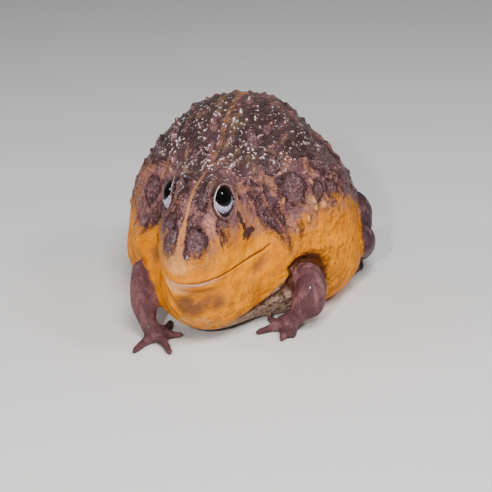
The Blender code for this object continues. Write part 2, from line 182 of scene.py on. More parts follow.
def at_eye_or_mouth(p):
    if eye_distance(p) < EYE_REGION:
        return True
    off = abs(p.z - mouth_height(p.y))
    return off < MOUTH_REGION and p.y < MOUTH_CORNER.y + 0.002 and abs(p.x) < 0.036


refine(skin_bm, lambda p: on_head(p) or on_wet_back(p))
refine(skin_bm, at_eye_or_mouth)
relax(skin_bm, skin_bm.verts[:], 1)
skin_bm.normal_update()

# Relief of the skin: the folds, lips, lids and ridges of the hide. Each is raised or sunk along the way that
# the smooth skin faces there.
point = np.array([v.co for v in skin_bm.verts])
outward = np.array([v.normal for v in skin_bm.verts])
skin_tree = BVHTree.FromBMesh(skin_bm)
HEART = Vector((0.0, -0.030, 0.044))
x, y, z = point.T
rise = np.zeros(len(point))


def ease(low, high, value):
    share = np.clip((value - low) / (high - low), 0, 1)
    return share * share * (3 - 2 * share)


def bump(value, centre, width):
    return np.exp(-(((value - centre) / width) ** 2))


def rolls(value, shapes):
    """Soft ridges and grooves side by side across a value: each has a height, a middle and a half width."""
    return sum(height * bump(value, middle, half) for height, middle, half in shapes)


def near_path(path):
    """Each vertex's distance from a path laid on the skin and its share of the way along it."""
    steps = [Vector(a).lerp(Vector(b), part) for a, b in zip(path, path[1:]) for part in (0, 1 / 3, 2 / 3)]
    path = np.array([skin_tree.find_nearest(step)[0] for step in [*steps, Vector(path[-1])]])
    best = np.full(len(point), 1e9)
    share = np.zeros(len(point))
    for index, (start, end) in enumerate(zip(path, path[1:])):
        way = end - start
        t = np.clip((point - start) @ way / (way @ way), 0, 1)
        distance = np.linalg.norm(point - (start + t[:, None] * way), axis=1)
        closer = distance < best
        best[closer] = distance[closer]
        share[closer] = ((index + t) / (len(path) - 1))[closer]
    return best, share


def on_side(path, side):
    return [(side * px, py, pz) for px, py, pz in path]


def part_distance(*parts):
    """Each vertex's distance from the solids of the named parts."""
    bm = bmesh.new()
    for name in flesh_nodes:
        if name.startswith(parts):
            bm.from_mesh(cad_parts[name].data)
    tree = BVHTree.FromBMesh(bm)
    bm.free()
    return np.array([tree.find_nearest(Vector(p))[3] for p in point])


SOFT_EDGE = 0.0009
trunk_gap = part_distance("head", "lower_jaw", "torso")
arm_gap = part_distance(*ARM_PARTS)
leg_gap = part_distance(*LEG_PARTS)
arm = ease(-SOFT_EDGE, SOFT_EDGE, trunk_gap - arm_gap)
leg = ease(-SOFT_EDGE, SOFT_EDGE, trunk_gap - leg_gap)
slack = np.full(len(point), 1e9)
for place, radius in SLACK:
    slack = np.minimum(slack, np.linalg.norm(point - np.array(place), axis=1) - radius)
arm *= ease(-0.0002, 0.0012, slack)
trunk = 1 - np.clip(arm + leg, 0, 1)

# Hind legs: a crease runs where the folded thigh, shank and foot press against each other.
LEG_FOLD_HALF = 0.0012
LEG_FOLD_DEPTH = 0.0012
part_gaps = [part_distance(part) for part in LEG_PARTS]
meetings = [bump(gap, next_gap, LEG_FOLD_HALF) for gap, next_gap in zip(part_gaps, part_gaps[1:])]
leg_fold = leg * np.max(meetings, axis=0)
rise -= LEG_FOLD_DEPTH * leg_fold

# The upper flanks fall away a little more steeply than the body inside them, the left one most.
LEFT_FALL = 0.0038
RIGHT_FALL = 0.0015
on_upper_flank = trunk * ease(0.064, 0.086, z) * ease(0.1150, 0.1000, z) * ease(-0.030, -0.010, y)
rise -= on_upper_flank * (LEFT_FALL * ease(0.010, 0.030, x) + RIGHT_FALL * ease(-0.010, -0.030, x))

# Mouth: the line runs from corner to corner, the upper lip a soft roll that overhangs the thinner lower one.
LIP_ROLLS = ((-0.0013, 0, 0.00055), (0.0007, 0.0019, 0.0014), (0.0003, -0.0015, 0.0009))
FRONT_LIP_ROLL = ((0.0006, -0.0048, 0.0020),)
mouth_off = z - mouth_height(y)
on_mouth = ease(MOUTH_CORNER.y - 0.0042, MOUTH_CORNER.y - 0.0100, y) * trunk
on_mouth *= ease(0.015, 0.011, np.abs(mouth_off))
front_lip = ease(0.019, 0.006, np.abs(x - 0.001))
rise += on_mouth * (rolls(mouth_off, LIP_ROLLS) + front_lip * rolls(mouth_off, FRONT_LIP_ROLL))

# Eyelids: a thin wet rim round each slanting opening, with folds of loose skin outside it.
EYE_OUT = 56
EYE_UP = 12
EYE_OPENING = (0.0062, 0.0086)
LID_TILT = 18
LID_CLEAR = 1.045
SUNK_SHARE = 0.80
LID_RIM = ((0.0004, 1.055, 0.04), (-0.0006, 1.19, 0.06))
LID_FOLDS = ((0.0009, 1.36, 0.10), (-0.0005, 1.56, 0.08))
FRONT_FOLDS = ((0.0004, 1.72, 0.08), (-0.0003, 1.88, 0.08))


def facing(side, out, up):
    """The way that points so many degrees outward of the front and so many above level."""
    out = math.radians(out)
    up = math.radians(up)
    return Vector((side * math.sin(out) * math.cos(up), -math.cos(out) * math.cos(up), math.sin(up)))


def eye_frame(side):
    gaze = facing(side, EYE_OUT, EYE_UP)
    along = Vector((0, 0, 1)).cross(gaze).normalized()
    turn = Matrix((gaze, along, gaze.cross(along))).transposed().to_4x4()
    return Matrix.Translation(eye_centre(side)) @ turn


def lid_ring(side, spots):
    """How far spots lie from the middle of an eye's opening, 1 at its edge, and their places in it."""
    place = np.array(eye_frame(side))
    local = (spots - place[:3, 3]) @ place[:3, :3]
    front = -side * local[:, 1]
    tilt = math.radians(LID_TILT)
    across = (front * math.cos(tilt) + local[:, 2] * math.sin(tilt)) / EYE_OPENING[0]
    upward = (local[:, 2] * math.cos(tilt) - front * math.sin(tilt)) / EYE_OPENING[1]
    return np.hypot(across, upward), across, upward, local


eye_ring = np.full(len(point), 9.0)
lid_front = np.zeros(len(point))
lid_up = np.zeros(len(point))
socket = np.zeros((len(point), 3))
for side in SIDES:
    ring, across, upward, local = lid_ring(side, point)
    near = (local[:, 0] > 0.0) & (np.linalg.norm(local, axis=1) < 0.020)
    eye_ring[near] = np.minimum(eye_ring, ring)[near]
    lid_front[near] = across[near]
    lid_up[near] = upward[near]
    inner = local / np.array(EYE_HALF)
    reach = np.linalg.norm(inner, axis=1)
    way = local / np.maximum(reach, 1e-6)[:, None]
    sink = (near * ease(1.02, 0.97, ring))[:, None]
    clear = (near * ease(0.98, 1.03, ring) * np.clip(LID_CLEAR - reach, 0, None))[:, None]
    socket += ((way * SUNK_SHARE - local) * sink + way * clear) @ np.array(eye_frame(side))[:3, :3].T
brow = ease(-0.2, 0.6, lid_up)
rise += rolls(eye_ring, LID_RIM)
rise += (0.3 + 0.7 * brow) * rolls(eye_ring, LID_FOLDS)
rise += ease(-0.3, 0.5, lid_front) * rolls(eye_ring, FRONT_FOLDS)

# Brow: two dark folds run from each eye's upper front down the snout, beside the pale line.
BROW_FOLDS = (
    (
        (0.0087, -0.0660, 0.0905),
        (0.0066, -0.0714, 0.0892),
        (0.0040, -0.0755, 0.0860),
        (0.0042, -0.0800, 0.0820),
    ),
    (
        (0.0120, -0.0720, 0.0890),
        (0.0091, -0.0795, 0.0824),
        (0.0066, -0.0851, 0.0767),
        (0.0068, -0.0902, 0.0714),
    ),
)
BROW_ROLLS = ((0.0005, 0.0014, 0.0009), (-0.0007, 0, 0.0007))
brow_dark = np.zeros(len(point))
for side in SIDES:
    for fold in BROW_FOLDS:
        away, share = near_path(on_side(fold, side))
        fade = ease(0, 0.2, share) * ease(1, 0.7, share)
        rise += fade * rolls(away, BROW_ROLLS)
        brow_dark = np.maximum(brow_dark, fade * bump(away, 0, 0.0009))

# Nostrils: small slanting pits, each with a raised edge.
NOSTRIL = Vector((0.0072, -0.0600, 0.0700))
NOSTRIL_ROLLS = ((-0.0016, 0, 0.0009), (0.0005, 0.0020, 0.0007))
nostril = np.zeros(len(point))
for side in SIDES:
    start = Vector((side * NOSTRIL.x, NOSTRIL.y, NOSTRIL.z))
    spot = skin_tree.ray_cast(start, Vector((0, -1, 0)))[0]
    away = np.linalg.norm(point - np.array(spot), axis=1)
    rise += rolls(away, NOSTRIL_ROLLS)
    nostril = np.maximum(nostril, bump(away, 0, 0.0013))

# Ear and neck: a low round drum behind each eye, under a heavy fold that runs from the back of the eye down
# to the shoulder, with grooves of slack skin on both sides of it. The grooves get painted shade and the
# fold's crest a painted highlight.
EAR = Vector((0.0050, -0.0485, 0.0725))
EAR_RADIUS = 0.0052
NECK_FOLD = (
    (0.0196, -0.0620, 0.0800),
    (0.0220, -0.0530, 0.0815),
    (0.0250, -0.0460, 0.0785),
    (0.0286, -0.0455, 0.0712),
    (0.0330, -0.0443, 0.0642),
    (0.0362, -0.0438, 0.0589),
    (0.0397, -0.0430, 0.0532),
    (0.0415, -0.0435, 0.0470),
)
NECK_GROOVES = (
    (
        (0.0241, -0.0421, 0.0811),
        (0.0267, -0.0417, 0.0788),
        (0.0322, -0.0395, 0.0757),
        (0.0374, -0.0397, 0.0680),
    ),
    (
        (0.0300, -0.0449, 0.0688),
        (0.0333, -0.0439, 0.0646),
        (0.0380, -0.0425, 0.0585),
        (0.0410, -0.0425, 0.0517),
    ),
    (
        (0.0385, -0.0423, 0.0575),
        (0.0412, -0.0427, 0.0510),
        (0.0421, -0.0436, 0.0453),
        (0.0433, -0.0441, 0.0397),
    ),
    (
        (0.0299, -0.0485, 0.0616),
        (0.0332, -0.0467, 0.0574),
        (0.0369, -0.0452, 0.0530),
        (0.0405, -0.0447, 0.0460),
    ),
)
GROOVE_HALF = (0.0007, 0.0015, 0.0010, 0.0006)
GROOVE_DEPTH = 0.0010
NECK_FOLD_HEIGHT = 0.0015
JAW_GROOVE_HALF = 0.0024
JAW_GROOVE_DEPTH = 0.0009
JAW_GROOVE = (
    (0.0326, -0.0539, 0.0456),
    (0.0303, -0.0596, 0.0418),
    (0.0282, -0.0633, 0.0396),
    (0.0253, -0.0688, 0.0374),
)
ear = np.zeros(len(point))
groove_shade = np.zeros(len(point))
fold_crest_highlight = np.zeros(len(point))
jaw_shade = np.zeros(len(point))
for side in SIDES:
    drum = np.array(skin_tree.ray_cast(Vector((side * EAR.x, EAR.y, EAR.z)), Vector((side, 0, 0)))[0])
    away = np.linalg.norm(point - drum, axis=1)
    rise += trunk * (0.0004 * bump(away, EAR_RADIUS, 0.0008) - 0.0004 * ease(EAR_RADIUS, 0.0030, away))
    ear = np.maximum(ear, bump(away, EAR_RADIUS - 0.0014, 0.0008))
    away, share = near_path(on_side(NECK_FOLD, side))
    fade = ease(0, 0.15, share) * ease(1, 0.8, share) * trunk
    rise += NECK_FOLD_HEIGHT * fade * bump(away, 0, 0.0013)
    fold_crest_highlight = np.maximum(fold_crest_highlight, fade * bump(away, 0, 0.0009))
    for half, groove in zip(GROOVE_HALF, NECK_GROOVES):
        away, share = near_path(on_side(groove, side))
        fade = ease(0, 0.2, share) * ease(1, 0.75, share) * trunk
        rise -= GROOVE_DEPTH * fade * bump(away, 0, half)
        groove_shade = np.maximum(groove_shade, fade * bump(away, 0, half))
    away, share = near_path(on_side(JAW_GROOVE, side))
    fade = ease(0, 0.3, share) * ease(1, 0.6, share)
    rise -= JAW_GROOVE_DEPTH * fade * bump(away, 0, JAW_GROOVE_HALF)
    jaw_shade = np.maximum(jaw_shade, fade * bump(away, 0.0006, JAW_GROOVE_HALF))

# Throat pouch and armpits: the pouch hangs over the chest in a deep crease that ends behind the arm.
# On the right a second fold of slack skin runs from under the mouth to the bottom of the pouch.
POUCH_CREASE = (
    (0.0475, -0.0450, 0.0345),
    (0.0423, -0.0469, 0.0267),
    (0.0388, -0.0500, 0.0205),
    (0.0305, -0.0570, 0.0150),
    (0.0205, -0.0690, 0.0125),
    (0.0100, -0.0760, 0.0090),
)
ARM_FOLD = (
    (0.0417, -0.0472, 0.0338),
    (0.0447, -0.0425, 0.0365),
    (0.0480, -0.0390, 0.0374),
    (0.0519, -0.0355, 0.0368),
    (0.0553, -0.0328, 0.0353),
    (0.0592, -0.0292, 0.0307),
)
SLACK_FOLD = (
    (-0.0149, -0.0927, 0.0508),
    (-0.0154, -0.0854, 0.0387),
    (-0.0118, -0.0896, 0.0326),
    (-0.0067, -0.0927, 0.0263),
    (-0.0022, -0.0915, 0.0191),
)
LIP_FURROW = (
    (-0.0080, -0.0945, 0.0378),
    (-0.0010, -0.0958, 0.0370),
    (0.0079, -0.0928, 0.0360),
    (0.0124, -0.0891, 0.0361),
    (0.0159, -0.0848, 0.0368),
)
POUCH_CREASE_DEPTH = 0.0022
SLACK_ROLLS = ((0.0010, 0.0030, 0.0018), (-0.0016, 0, 0.0012))
FURROW_DEPTH = 0.0009
ARMPIT_REACH = ((0.038, 0.0035), (0.046, 0.0065), (0.054, 0.0120), (0.060, 0.0150))
# The creases and the armpit are also kept for painted shade in the skin's colour.
crease = np.zeros(len(point))
for side in SIDES:
    away, share = near_path(on_side(POUCH_CREASE, side))
    strength = ease(1, 0.6, share) * trunk * (1 if side > 0 else ease(0.2, 0.6, share))
    rise -= POUCH_CREASE_DEPTH * strength * bump(away, 0, 0.0017)
    crease = np.maximum(crease, strength * bump(away, 0, 0.0022))
away, share = near_path(ARM_FOLD)
strength = ease(1, 0.8, share) * trunk
roll = 0.0010 * bump(away, 0.0030, 0.0020) * ease(-0.040, -0.046, y)
rise += strength * (roll - 0.0020 * bump(away, 0, 0.0014))
crease = np.maximum(crease, strength * bump(away, 0, 0.0014))
crease = np.maximum(crease, 0.7 * trunk * bump(arm_gap, 0, 0.0016) * ease(0.010, 0.020, z))
armpit = (
    trunk
    * ease(1.0, 0.1, arm_gap / np.interp(x, *zip(*ARMPIT_REACH)))
    * ease(0.036, 0.042, x)
    * ease(0.008, 0.026, z)
    * ease(0.046, 0.038, z)
)
rise -= 0.0014 * trunk * ease(0.0035, 0.0, arm_gap) * ease(0.040, 0.046, np.abs(x))
away, share = near_path(SLACK_FOLD)
strength = ease(0, 0.15, share) * ease(1, 0.7, share) * trunk
rise += strength * rolls(away, SLACK_ROLLS)
slack_fold_shade = strength * bump(away, 0, 0.0011)
away, share = near_path(LIP_FURROW)
strength = ease(0, 0.25, share) * ease(1, 0.7, share)
rise -= FURROW_DEPTH * strength * bump(away, 0, 0.0018)
furrow_shade = strength * bump(away, 0.0002, 0.0020)

# Ridges and warts: rows of broken skin ridges run from head to rump, with many small warts among them, and a
# few tall warts with pale tips stand on the left side of the neck and shoulder.
SEED = 7
RIDGE_ROWS = (5, 13, 22, 31, 41, 51)
RIDGE_CLIMB = (66, 168)
RIDGE_CLIMB_BEHIND_EAR = 84
RIDGES_ON_TOP = 11
RIDGE_HALF = (0.0068, 0.0026, 0.0013)
BEAD_HALF = (0.0016, 0.0014, 0.0006)
WARTS = 1000
WART_OFF = (0, 80)
WART_CLIMB = (48, 174)
LOWEST_WART = 0.052
FLANK_WARTS = 70
FLANK_OFF = (52, 80)
FLANK_CLIMB = (70, 150)
FLANK_WART_HALF = (0.0052, 0.0021)
LEFT_WART_HEIGHT = 0.0010
RIGHT_WART_HEIGHT = 0.0005
wart = np.zeros(len(point))
bead = np.zeros(len(point))
vertex_tree = KDTree(len(point))
for index, spot in enumerate(point):
    vertex_tree.insert(spot, index)
vertex_tree.balance()


def raise_wart(spot, normal, ahead, half_length, half_width, height, tag):
    """Raises an oval patch of skin into a wart or ridge that lies along the given way."""
    found = np.array([index for _, index, _ in vertex_tree.find_range(spot, half_length)])
    if len(found) == 0:
        return
    ahead = np.array((ahead - normal * ahead.dot(normal)).normalized())
    across = np.cross(np.array(normal), ahead)
    step = point[found] - np.array(spot)
    oval = (step @ ahead / half_length) ** 2 + (step @ across / half_width) ** 2
    dome = np.clip(1 - oval, 0, 1) ** 1.2 * trunk[found] * ease(1.45, 1.9, eye_ring[found])
    rise[found] += height * dome
    tag[found] = np.maximum(tag[found], dome)


def spoke_at(side, off, climb):
    flat = math.cos(off)
    spoke = Vector((side * math.sin(off), -flat * math.cos(climb), flat * math.sin(climb)))
    return spoke, Vector((0, flat * math.sin(climb), flat * math.cos(climb)))


draw = random.Random(SEED)
for off in RIDGE_ROWS:
    first, last = RIDGE_CLIMB
    if off > 40:
        first = RIDGE_CLIMB_BEHIND_EAR
    count = round(RIDGES_ON_TOP * (0.45 + 0.55 * math.cos(math.radians(off))) * (last - first) / 100) + 1
    for side in SIDES:
        for index in range(count):
            climb = math.radians(first + (last - first) * (index + draw.uniform(-0.3, 0.3)) / (count - 1))
            lean = math.radians(off + draw.uniform(-3.5, 3.5))
            spoke, ahead = spoke_at(side, lean, climb)
            ahead.x = draw.uniform(-0.45, 0.45)
            size = draw.uniform(0.6, 1.2) * (1 if off < 35 else 0.7)
            spot, normal = skin_tree.ray_cast(HEART, spoke)[:2]
            length, width, height = [half * size for half in RIDGE_HALF]
            raise_wart(spot, normal, ahead, length, width, height, wart)
            for step in (-0.75, -0.35, 0.05, 0.4, 0.8):
                beside = spot + ahead.normalized() * (length * (step + draw.uniform(-0.12, 0.12)))
                size = draw.uniform(0.7, 1.2)
                raise_wart(beside, normal, ahead, *[half * size for half in BEAD_HALF], bead)
draw = random.Random(SEED + 1)
for _ in range(WARTS):
    off = math.radians(draw.uniform(*WART_OFF))
    climb = math.radians(draw.uniform(*WART_CLIMB))
    spoke, ahead = spoke_at(draw.choice(SIDES), off, climb)
    ahead.x = draw.uniform(-0.5, 0.5)
    spot, normal = skin_tree.ray_cast(HEART, spoke)[:2]
    if spot.z < LOWEST_WART:
        continue
    size = draw.uniform(0.7, 1.1)
    raise_wart(spot, normal, ahead, *[half * size for half in BEAD_HALF], bead)
for _ in range(FLANK_WARTS):
    off = math.radians(draw.uniform(*FLANK_OFF))
    climb = math.radians(draw.uniform(*FLANK_CLIMB))
    spoke, ahead = spoke_at(draw.choice(SIDES), off, climb)
    spot, normal = skin_tree.ray_cast(HEART, spoke)[:2]
    upward = Vector((draw.uniform(-0.2, 0.2), draw.uniform(-0.3, 0.3), 1))
    size = draw.uniform(0.6, 1.1)
    height = LEFT_WART_HEIGHT if spot.x > 0 else RIGHT_WART_HEIGHT
    length, width = [half * size for half in FLANK_WART_HALF]
    raise_wart(spot, normal, upward, length, width, height * size, wart)

TALL_WARTS = (
    (0.0480, -0.0243, 0.0774),
    (0.0443, -0.0395, 0.0532),
    (0.0539, -0.0253, 0.0642),
    (0.0487, -0.0337, 0.0592),
    (0.0514, -0.0289, 0.0637),
    (0.0360, -0.0385, 0.0700),
    (0.0500, -0.0282, 0.0681),
    (0.0546, -0.0238, 0.0652),
)
TALL_WART_HALF = (0.0042, 0.0021, 0.0022)
tall = np.zeros(len(point))
for place in TALL_WARTS:
    spot, normal = skin_tree.find_nearest(Vector(place))[:2]
    upward = Vector((draw.uniform(-0.3, 0.3), draw.uniform(-0.3, 0.3), 1))
    raise_wart(spot, normal, upward, *TALL_WART_HALF, tall)

point = point + socket + outward * rise[:, None]
point[:, 2] = np.maximum(point[:, 2], 0)
for vertex, place in zip(skin_bm.verts, point):
    vertex.co = place
skin_mesh = bpy.data.meshes.new("skin")
skin_bm.to_mesh(skin_mesh)
skin_bm.free()
skin_mesh.polygons.foreach_set("use_smooth", [True] * len(skin_mesh.polygons))
skin = bpy.data.objects.new("skin", skin_mesh)
bpy.context.scene.collection.objects.link(skin)

# Markings of the skin, and places of painted shade, as fields that the skin's material turns into ragged
# patches of colour.
# The back is brown down to an uneven line along the sides; below it the frog is yellow.
BACK_LINE = (
    (-0.104, 0.0570),
    (-0.094, 0.0570),
    (-0.090, 0.0630),
    (-0.084, 0.0640),
    (-0.078, 0.0655),
    (-0.069, 0.0675),
    (-0.061, 0.0655),
    (-0.053, 0.0610),
    (-0.0435, 0.0505),
    (-0.034, 0.0610),
    (-0.026, 0.0645),
    (-0.012, 0.0635),
    (0.0, 0.0590),
    (0.030, 0.0480),
    (0.075, 0.0440),
)
RIGHT_DROP = 0.008
DARK_PATCHES = (
    ((0.0062, -0.0955, 0.0650), (0.0064, 0.0090, 0.0105)),
    ((-0.0078, -0.0955, 0.0645), (0.0048, 0.0090, 0.0100)),
    ((-0.0110, -0.0890, 0.0700), (0.0050, 0.0080, 0.0090)),
    ((-0.0090, -0.0700, 0.0855), (0.0052, 0.0110, 0.0060)),
    ((0.0054, -0.0760, 0.0840), (0.0034, 0.0120, 0.0070)),
    ((0.0166, -0.0825, 0.0700), (0.0046, 0.0055, 0.0055)),
    ((0.0340, -0.0425, 0.0610), (0.0050, 0.0030, 0.0100)),
    ((0.0405, -0.0325, 0.0755), (0.0092, 0.0088, 0.0094)),
    ((0.0520, -0.0220, 0.0720), (0.0034, 0.0060, 0.0070)),
    ((0.0575, -0.0130, 0.0710), (0.0045, 0.0075, 0.0080)),
    ((0.0460, -0.0380, 0.0545), (0.0020, 0.0030, 0.0055)),
    ((0.0280, -0.0330, 0.0880), (0.0060, 0.0055, 0.0070)),
    ((0.0390, -0.0180, 0.0935), (0.0070, 0.0080, 0.0065)),
    ((0.0160, -0.0290, 0.1000), (0.0085, 0.0080, 0.0075)),
    ((0.0185, -0.0100, 0.1095), (0.0080, 0.0110, 0.0060)),
    ((0.0520, -0.0010, 0.0850), (0.0070, 0.0110, 0.0090)),
    ((-0.0400, -0.0200, 0.0880), (0.0130, 0.0130, 0.0085)),
    ((-0.0400, -0.0370, 0.0700), (0.0075, 0.0070, 0.0095)),
    ((-0.0200, -0.0230, 0.1020), (0.0110, 0.0110, 0.0070)),
    ((-0.0110, -0.0420, 0.0930), (0.0070, 0.0095, 0.0060)),
    ((-0.0255, -0.0485, 0.0720), (0.0075, 0.0080, 0.0105)),
    ((-0.0172, -0.0815, 0.0675), (0.0035, 0.0040, 0.0055)),
    ((-0.0240, -0.0650, 0.0600), (0.0030, 0.0060, 0.0060)),
)
LIGHT_PATCHES = (
    ((0.0180, -0.0690, 0.0850), (0.0035, 0.0055, 0.0050)),
    ((0.0205, -0.0675, 0.0780), (0.0035, 0.0050, 0.0060)),
    ((0.0225, -0.0640, 0.0710), (0.0030, 0.0045, 0.0060)),
    ((0.0250, -0.0590, 0.0635), (0.0035, 0.0050, 0.0055)),
    ((0.0190, -0.0560, 0.0820), (0.0045, 0.0080, 0.0040)),
    ((0.0285, -0.0525, 0.0585), (0.0035, 0.0050, 0.0040)),
    ((0.0285, -0.0380, 0.0830), (0.0030, 0.0030, 0.0060)),
    ((0.0320, -0.0395, 0.0750), (0.0028, 0.0028, 0.0055)),
    ((0.0360, -0.0410, 0.0660), (0.0028, 0.0028, 0.0060)),
    ((0.0400, -0.0410, 0.0590), (0.0030, 0.0030, 0.0050)),
    ((0.0340, -0.0280, 0.0900), (0.0060, 0.0060, 0.0070)),
    ((0.0460, -0.0170, 0.0850), (0.0060, 0.0070, 0.0070)),
    ((0.0490, -0.0300, 0.0665), (0.0040, 0.0050, 0.0070)),
    ((-0.0330, -0.0290, 0.0905), (0.0060, 0.0070, 0.0075)),
    ((-0.0450, -0.0260, 0.0790), (0.0075, 0.0090, 0.0100)),
    ((-0.0520, -0.0260, 0.0660), (0.0060, 0.0100, 0.0110)),
    ((-0.0320, -0.0350, 0.0850), (0.0050, 0.0060, 0.0080)),
    ((0.0030, -0.0150, 0.1110), (0.0034, 0.0140, 0.0060)),
)
DARK_BEHIND = 34
EAR_PATCH = (
    (0.0217, -0.0495, 0.0794),
    (0.0256, -0.0483, 0.0730),
    (0.0287, -0.0486, 0.0647),
    (0.0318, -0.0472, 0.0590),
)
NECK_PATCH = (
    (0.0310, -0.0478, 0.0610),
    (0.0345, -0.0460, 0.0560),
    (0.0385, -0.0440, 0.0510),
    (0.0408, -0.0437, 0.0470),
)
DARK_BANDS = ((EAR_PATCH, 0.0052), (NECK_PATCH, 0.0030))
STREAKS = (
    ((0.0180, -0.0660, 0.0843), (0.0196, -0.0628, 0.0793)),
    (
        (0.0208, -0.0692, 0.0728),
        (0.0223, -0.0676, 0.0685),
        (0.0232, -0.0669, 0.0641),
        (0.0242, -0.0647, 0.0601),
    ),
)
STREAK_HALF = 0.0017
TAN_BAND_HALF = 0.0075
TAN_BAND = (
    (0.0198, -0.0680, 0.0785),
    (0.0218, -0.0645, 0.0725),
    (0.0242, -0.0610, 0.0650),
    (0.0262, -0.0570, 0.0600),
)
UNDER_EYE = ((0.0172, -0.0838, 0.0640), (0.0052, 0.0060, 0.0090))
# painted shadows beside the tall warts on the left flank
WART_SHADES = (
    ((0.0462, -0.0376, 0.0540), (0.0022, 0.0040, 0.0062)),
    ((0.0500, -0.0225, 0.0765), (0.0022, 0.0040, 0.0055)),
    ((0.0555, -0.0230, 0.0635), (0.0018, 0.0030, 0.0045)),
    ((0.0505, -0.0318, 0.0590), (0.0016, 0.0026, 0.0040)),
)
# Hollows of the jaw and neck, darkened with painted shade.
SHADED_HOLLOWS = (
    ((0.0420, -0.0440, 0.0430), (0.0070, 0.0090, 0.0070)),
    ((0.0315, -0.0560, 0.0440), (0.0060, 0.0070, 0.0050)),
    ((0.0270, -0.0650, 0.0330), (0.0060, 0.0080, 0.0040)),
)
CHEEK_BLOB = ((0.0246, -0.0640, 0.0600), (0.0045, 0.0066, 0.0040))
SNOUT_BLUSH = (0.0120, -0.087, 0.0710)
SNOUT_BLUSH_HALF = (0.006, 0.007, 0.008)
SNOUT_TIP = ((-0.003, -0.103, 0.0560), (0.012, 0.018, 0.010))
THROAT_PALE = ((-0.0080, -0.094, 0.0380), (0.014, 0.012, 0.0060))
THROAT_SMUDGE = ((0.0010, -0.0935, 0.0275), (0.0125, 0.014, 0.0100))
SIDE_SMUDGE = ((0.0120, -0.0895, 0.0290), (0.0130, 0.014, 0.0080))
FOREHEAD = ((0.0, -0.0800, 0.0820), (0.018, 0.032, 0.020))
CHEST_EDGE = (
    (0.000, 0.0040),
    (0.016, 0.0100),
    (0.020, 0.0135),
    (0.029, 0.0175),
    (0.042, 0.0300),
    (0.050, 0.0340),
)
RIGHT_CHEST_TOP = 0.020


def patch_field(centre, half):
    """1 at the middle of a patch, 0 at its edge and less outside."""
    return 1 - np.linalg.norm((point - np.array(centre)) / np.array(half), axis=1)


def highest_field(patches):
    return np.max([patch_field(*patch) for patch in patches], axis=0)


def soft_patch(full, patch):
    """0 at a patch's edge, rising to 1 where its field reaches the given value."""
    return ease(0.0, full, patch_field(*patch))


x, y, z = point.T
back_line = np.interp(y, *zip(*BACK_LINE)) - RIGHT_DROP * ease(0.0, -0.030, x) * ease(-0.050, -0.036, y)
dark_patch = highest_field(DARK_PATCHES)
draw = random.Random(SEED + 2)
for _ in range(DARK_BEHIND):
    off = math.radians(draw.uniform(10, 62))
    climb = math.radians(draw.uniform(118, 172))
    spoke, _ = spoke_at(draw.choice(SIDES), off, climb)
    spot = skin_tree.ray_cast(HEART, spoke)[0]
    dark_patch = np.maximum(dark_patch, patch_field(spot, [draw.uniform(0.006, 0.013)] * 3))
ear_patch = np.full(len(point), -100.0)
for path, half in DARK_BANDS:
    for side in SIDES:
        ear_patch = np.maximum(ear_patch, 1 - near_path(on_side(path, side))[0] / half)
dark_patch = np.maximum(dark_patch, ear_patch)
streak = patch_field(*CHEEK_BLOB)
for path in STREAKS:
    streak = np.maximum(streak, 1 - near_path(path)[0] / STREAK_HALF)
tan_band = ease(0.0, 0.7, 1 - near_path(TAN_BAND)[0] / TAN_BAND_HALF)
stripe_side = -0.0014 * ease(-0.060, -0.085, y)
stripe_half = 0.0009 + 0.0018 * ease(-0.088, -0.096, y) + 0.0011 * ease(-0.048, -0.035, y)
blush = highest_field([(spot, SNOUT_BLUSH_HALF) for side in SIDES for spot in on_side([SNOUT_BLUSH], side)])
near_arm = (
    trunk
    * ease(0.030, 0.004, arm_gap)
    * ease(0.040, 0.050, x)
    * ease(0.008, 0.016, z)
    * ease(0.052, 0.044, z)
)
chest_edge = np.interp(np.abs(x), *zip(*CHEST_EDGE))
chest_edge = np.where(x > 0, chest_edge, np.minimum(chest_edge, RIGHT_CHEST_TOP))
chest = (
    ease(0.001, -0.001, z - chest_edge)
    * ease(0.060, 0.046, np.abs(x))
    * ease(-0.030, -0.036, y)
    * (1 - arm)
)
fields = {
    "back": (z - back_line) / 0.010,
    "top": ease(0.077, 0.096, z) * ease(0.030, -0.010, y),
    "dark_patch": dark_patch,
    "ear_patch": ear_patch,
    "light_patch": highest_field(LIGHT_PATCHES),
    "stripe": (1 - np.abs(x - stripe_side) / stripe_half) * ease(0.0, 0.01, z - 0.050),
    "peach": soft_patch(0.8, SNOUT_TIP),
    "pink": ease(0.0, 0.8, blush),
    "mouth_off": np.where(on_mouth > 0.02, mouth_off * 1000, 50.0),
    "front_lip": front_lip,
    "throat_pale": soft_patch(0.6, THROAT_PALE),
    "smudge": np.maximum(soft_patch(0.65, THROAT_SMUDGE), 0.9 * soft_patch(0.75, SIDE_SMUDGE)),
    "hollow_shade": ease(0.0, 0.8, highest_field(SHADED_HOLLOWS)),
    "furrow_shade": furrow_shade,
    "jaw_shade": jaw_shade,
    "fold_crest_highlight": fold_crest_highlight,
    "streak": streak,
    "tan_band": tan_band,
    "wart_shade": highest_field(WART_SHADES),
    "near_arm": near_arm,
    "under_eye": patch_field(*UNDER_EYE),
    "brow_dark": brow_dark,
    "forehead": soft_patch(0.4, FOREHEAD),
    "net": ease(0.024, 0.016, z) * ease(0.018, 0.008, np.abs(x)),
    "chest": chest,
    "armpit": armpit,
    "crease": crease,
    "groove_shade": groove_shade,
    "ear": ear,
    "nostril": nostril,
    "slack_fold_shade": slack_fold_shade,
    "crinkle": 0.25 + 0.75 * np.maximum(ease(0.036, 0.048, np.abs(x)), ease(0.030, 0.018, z)),
    "arm": arm,
    "leg": leg,
    "leg_fold": leg_fold,
    "ring": eye_ring,
    "lid_front": lid_front,
    "lid_up": lid_up,
    "wart": wart,
    "bead": bead,
    "tall": tall,
}


def keep_fields(mesh, fields):
    for name, values in fields.items():
        layer = mesh.attributes.new(name, "FLOAT", "POINT")
        layer.data.foreach_set("value", values.astype(np.float32))


keep_fields(skin_mesh, fields)
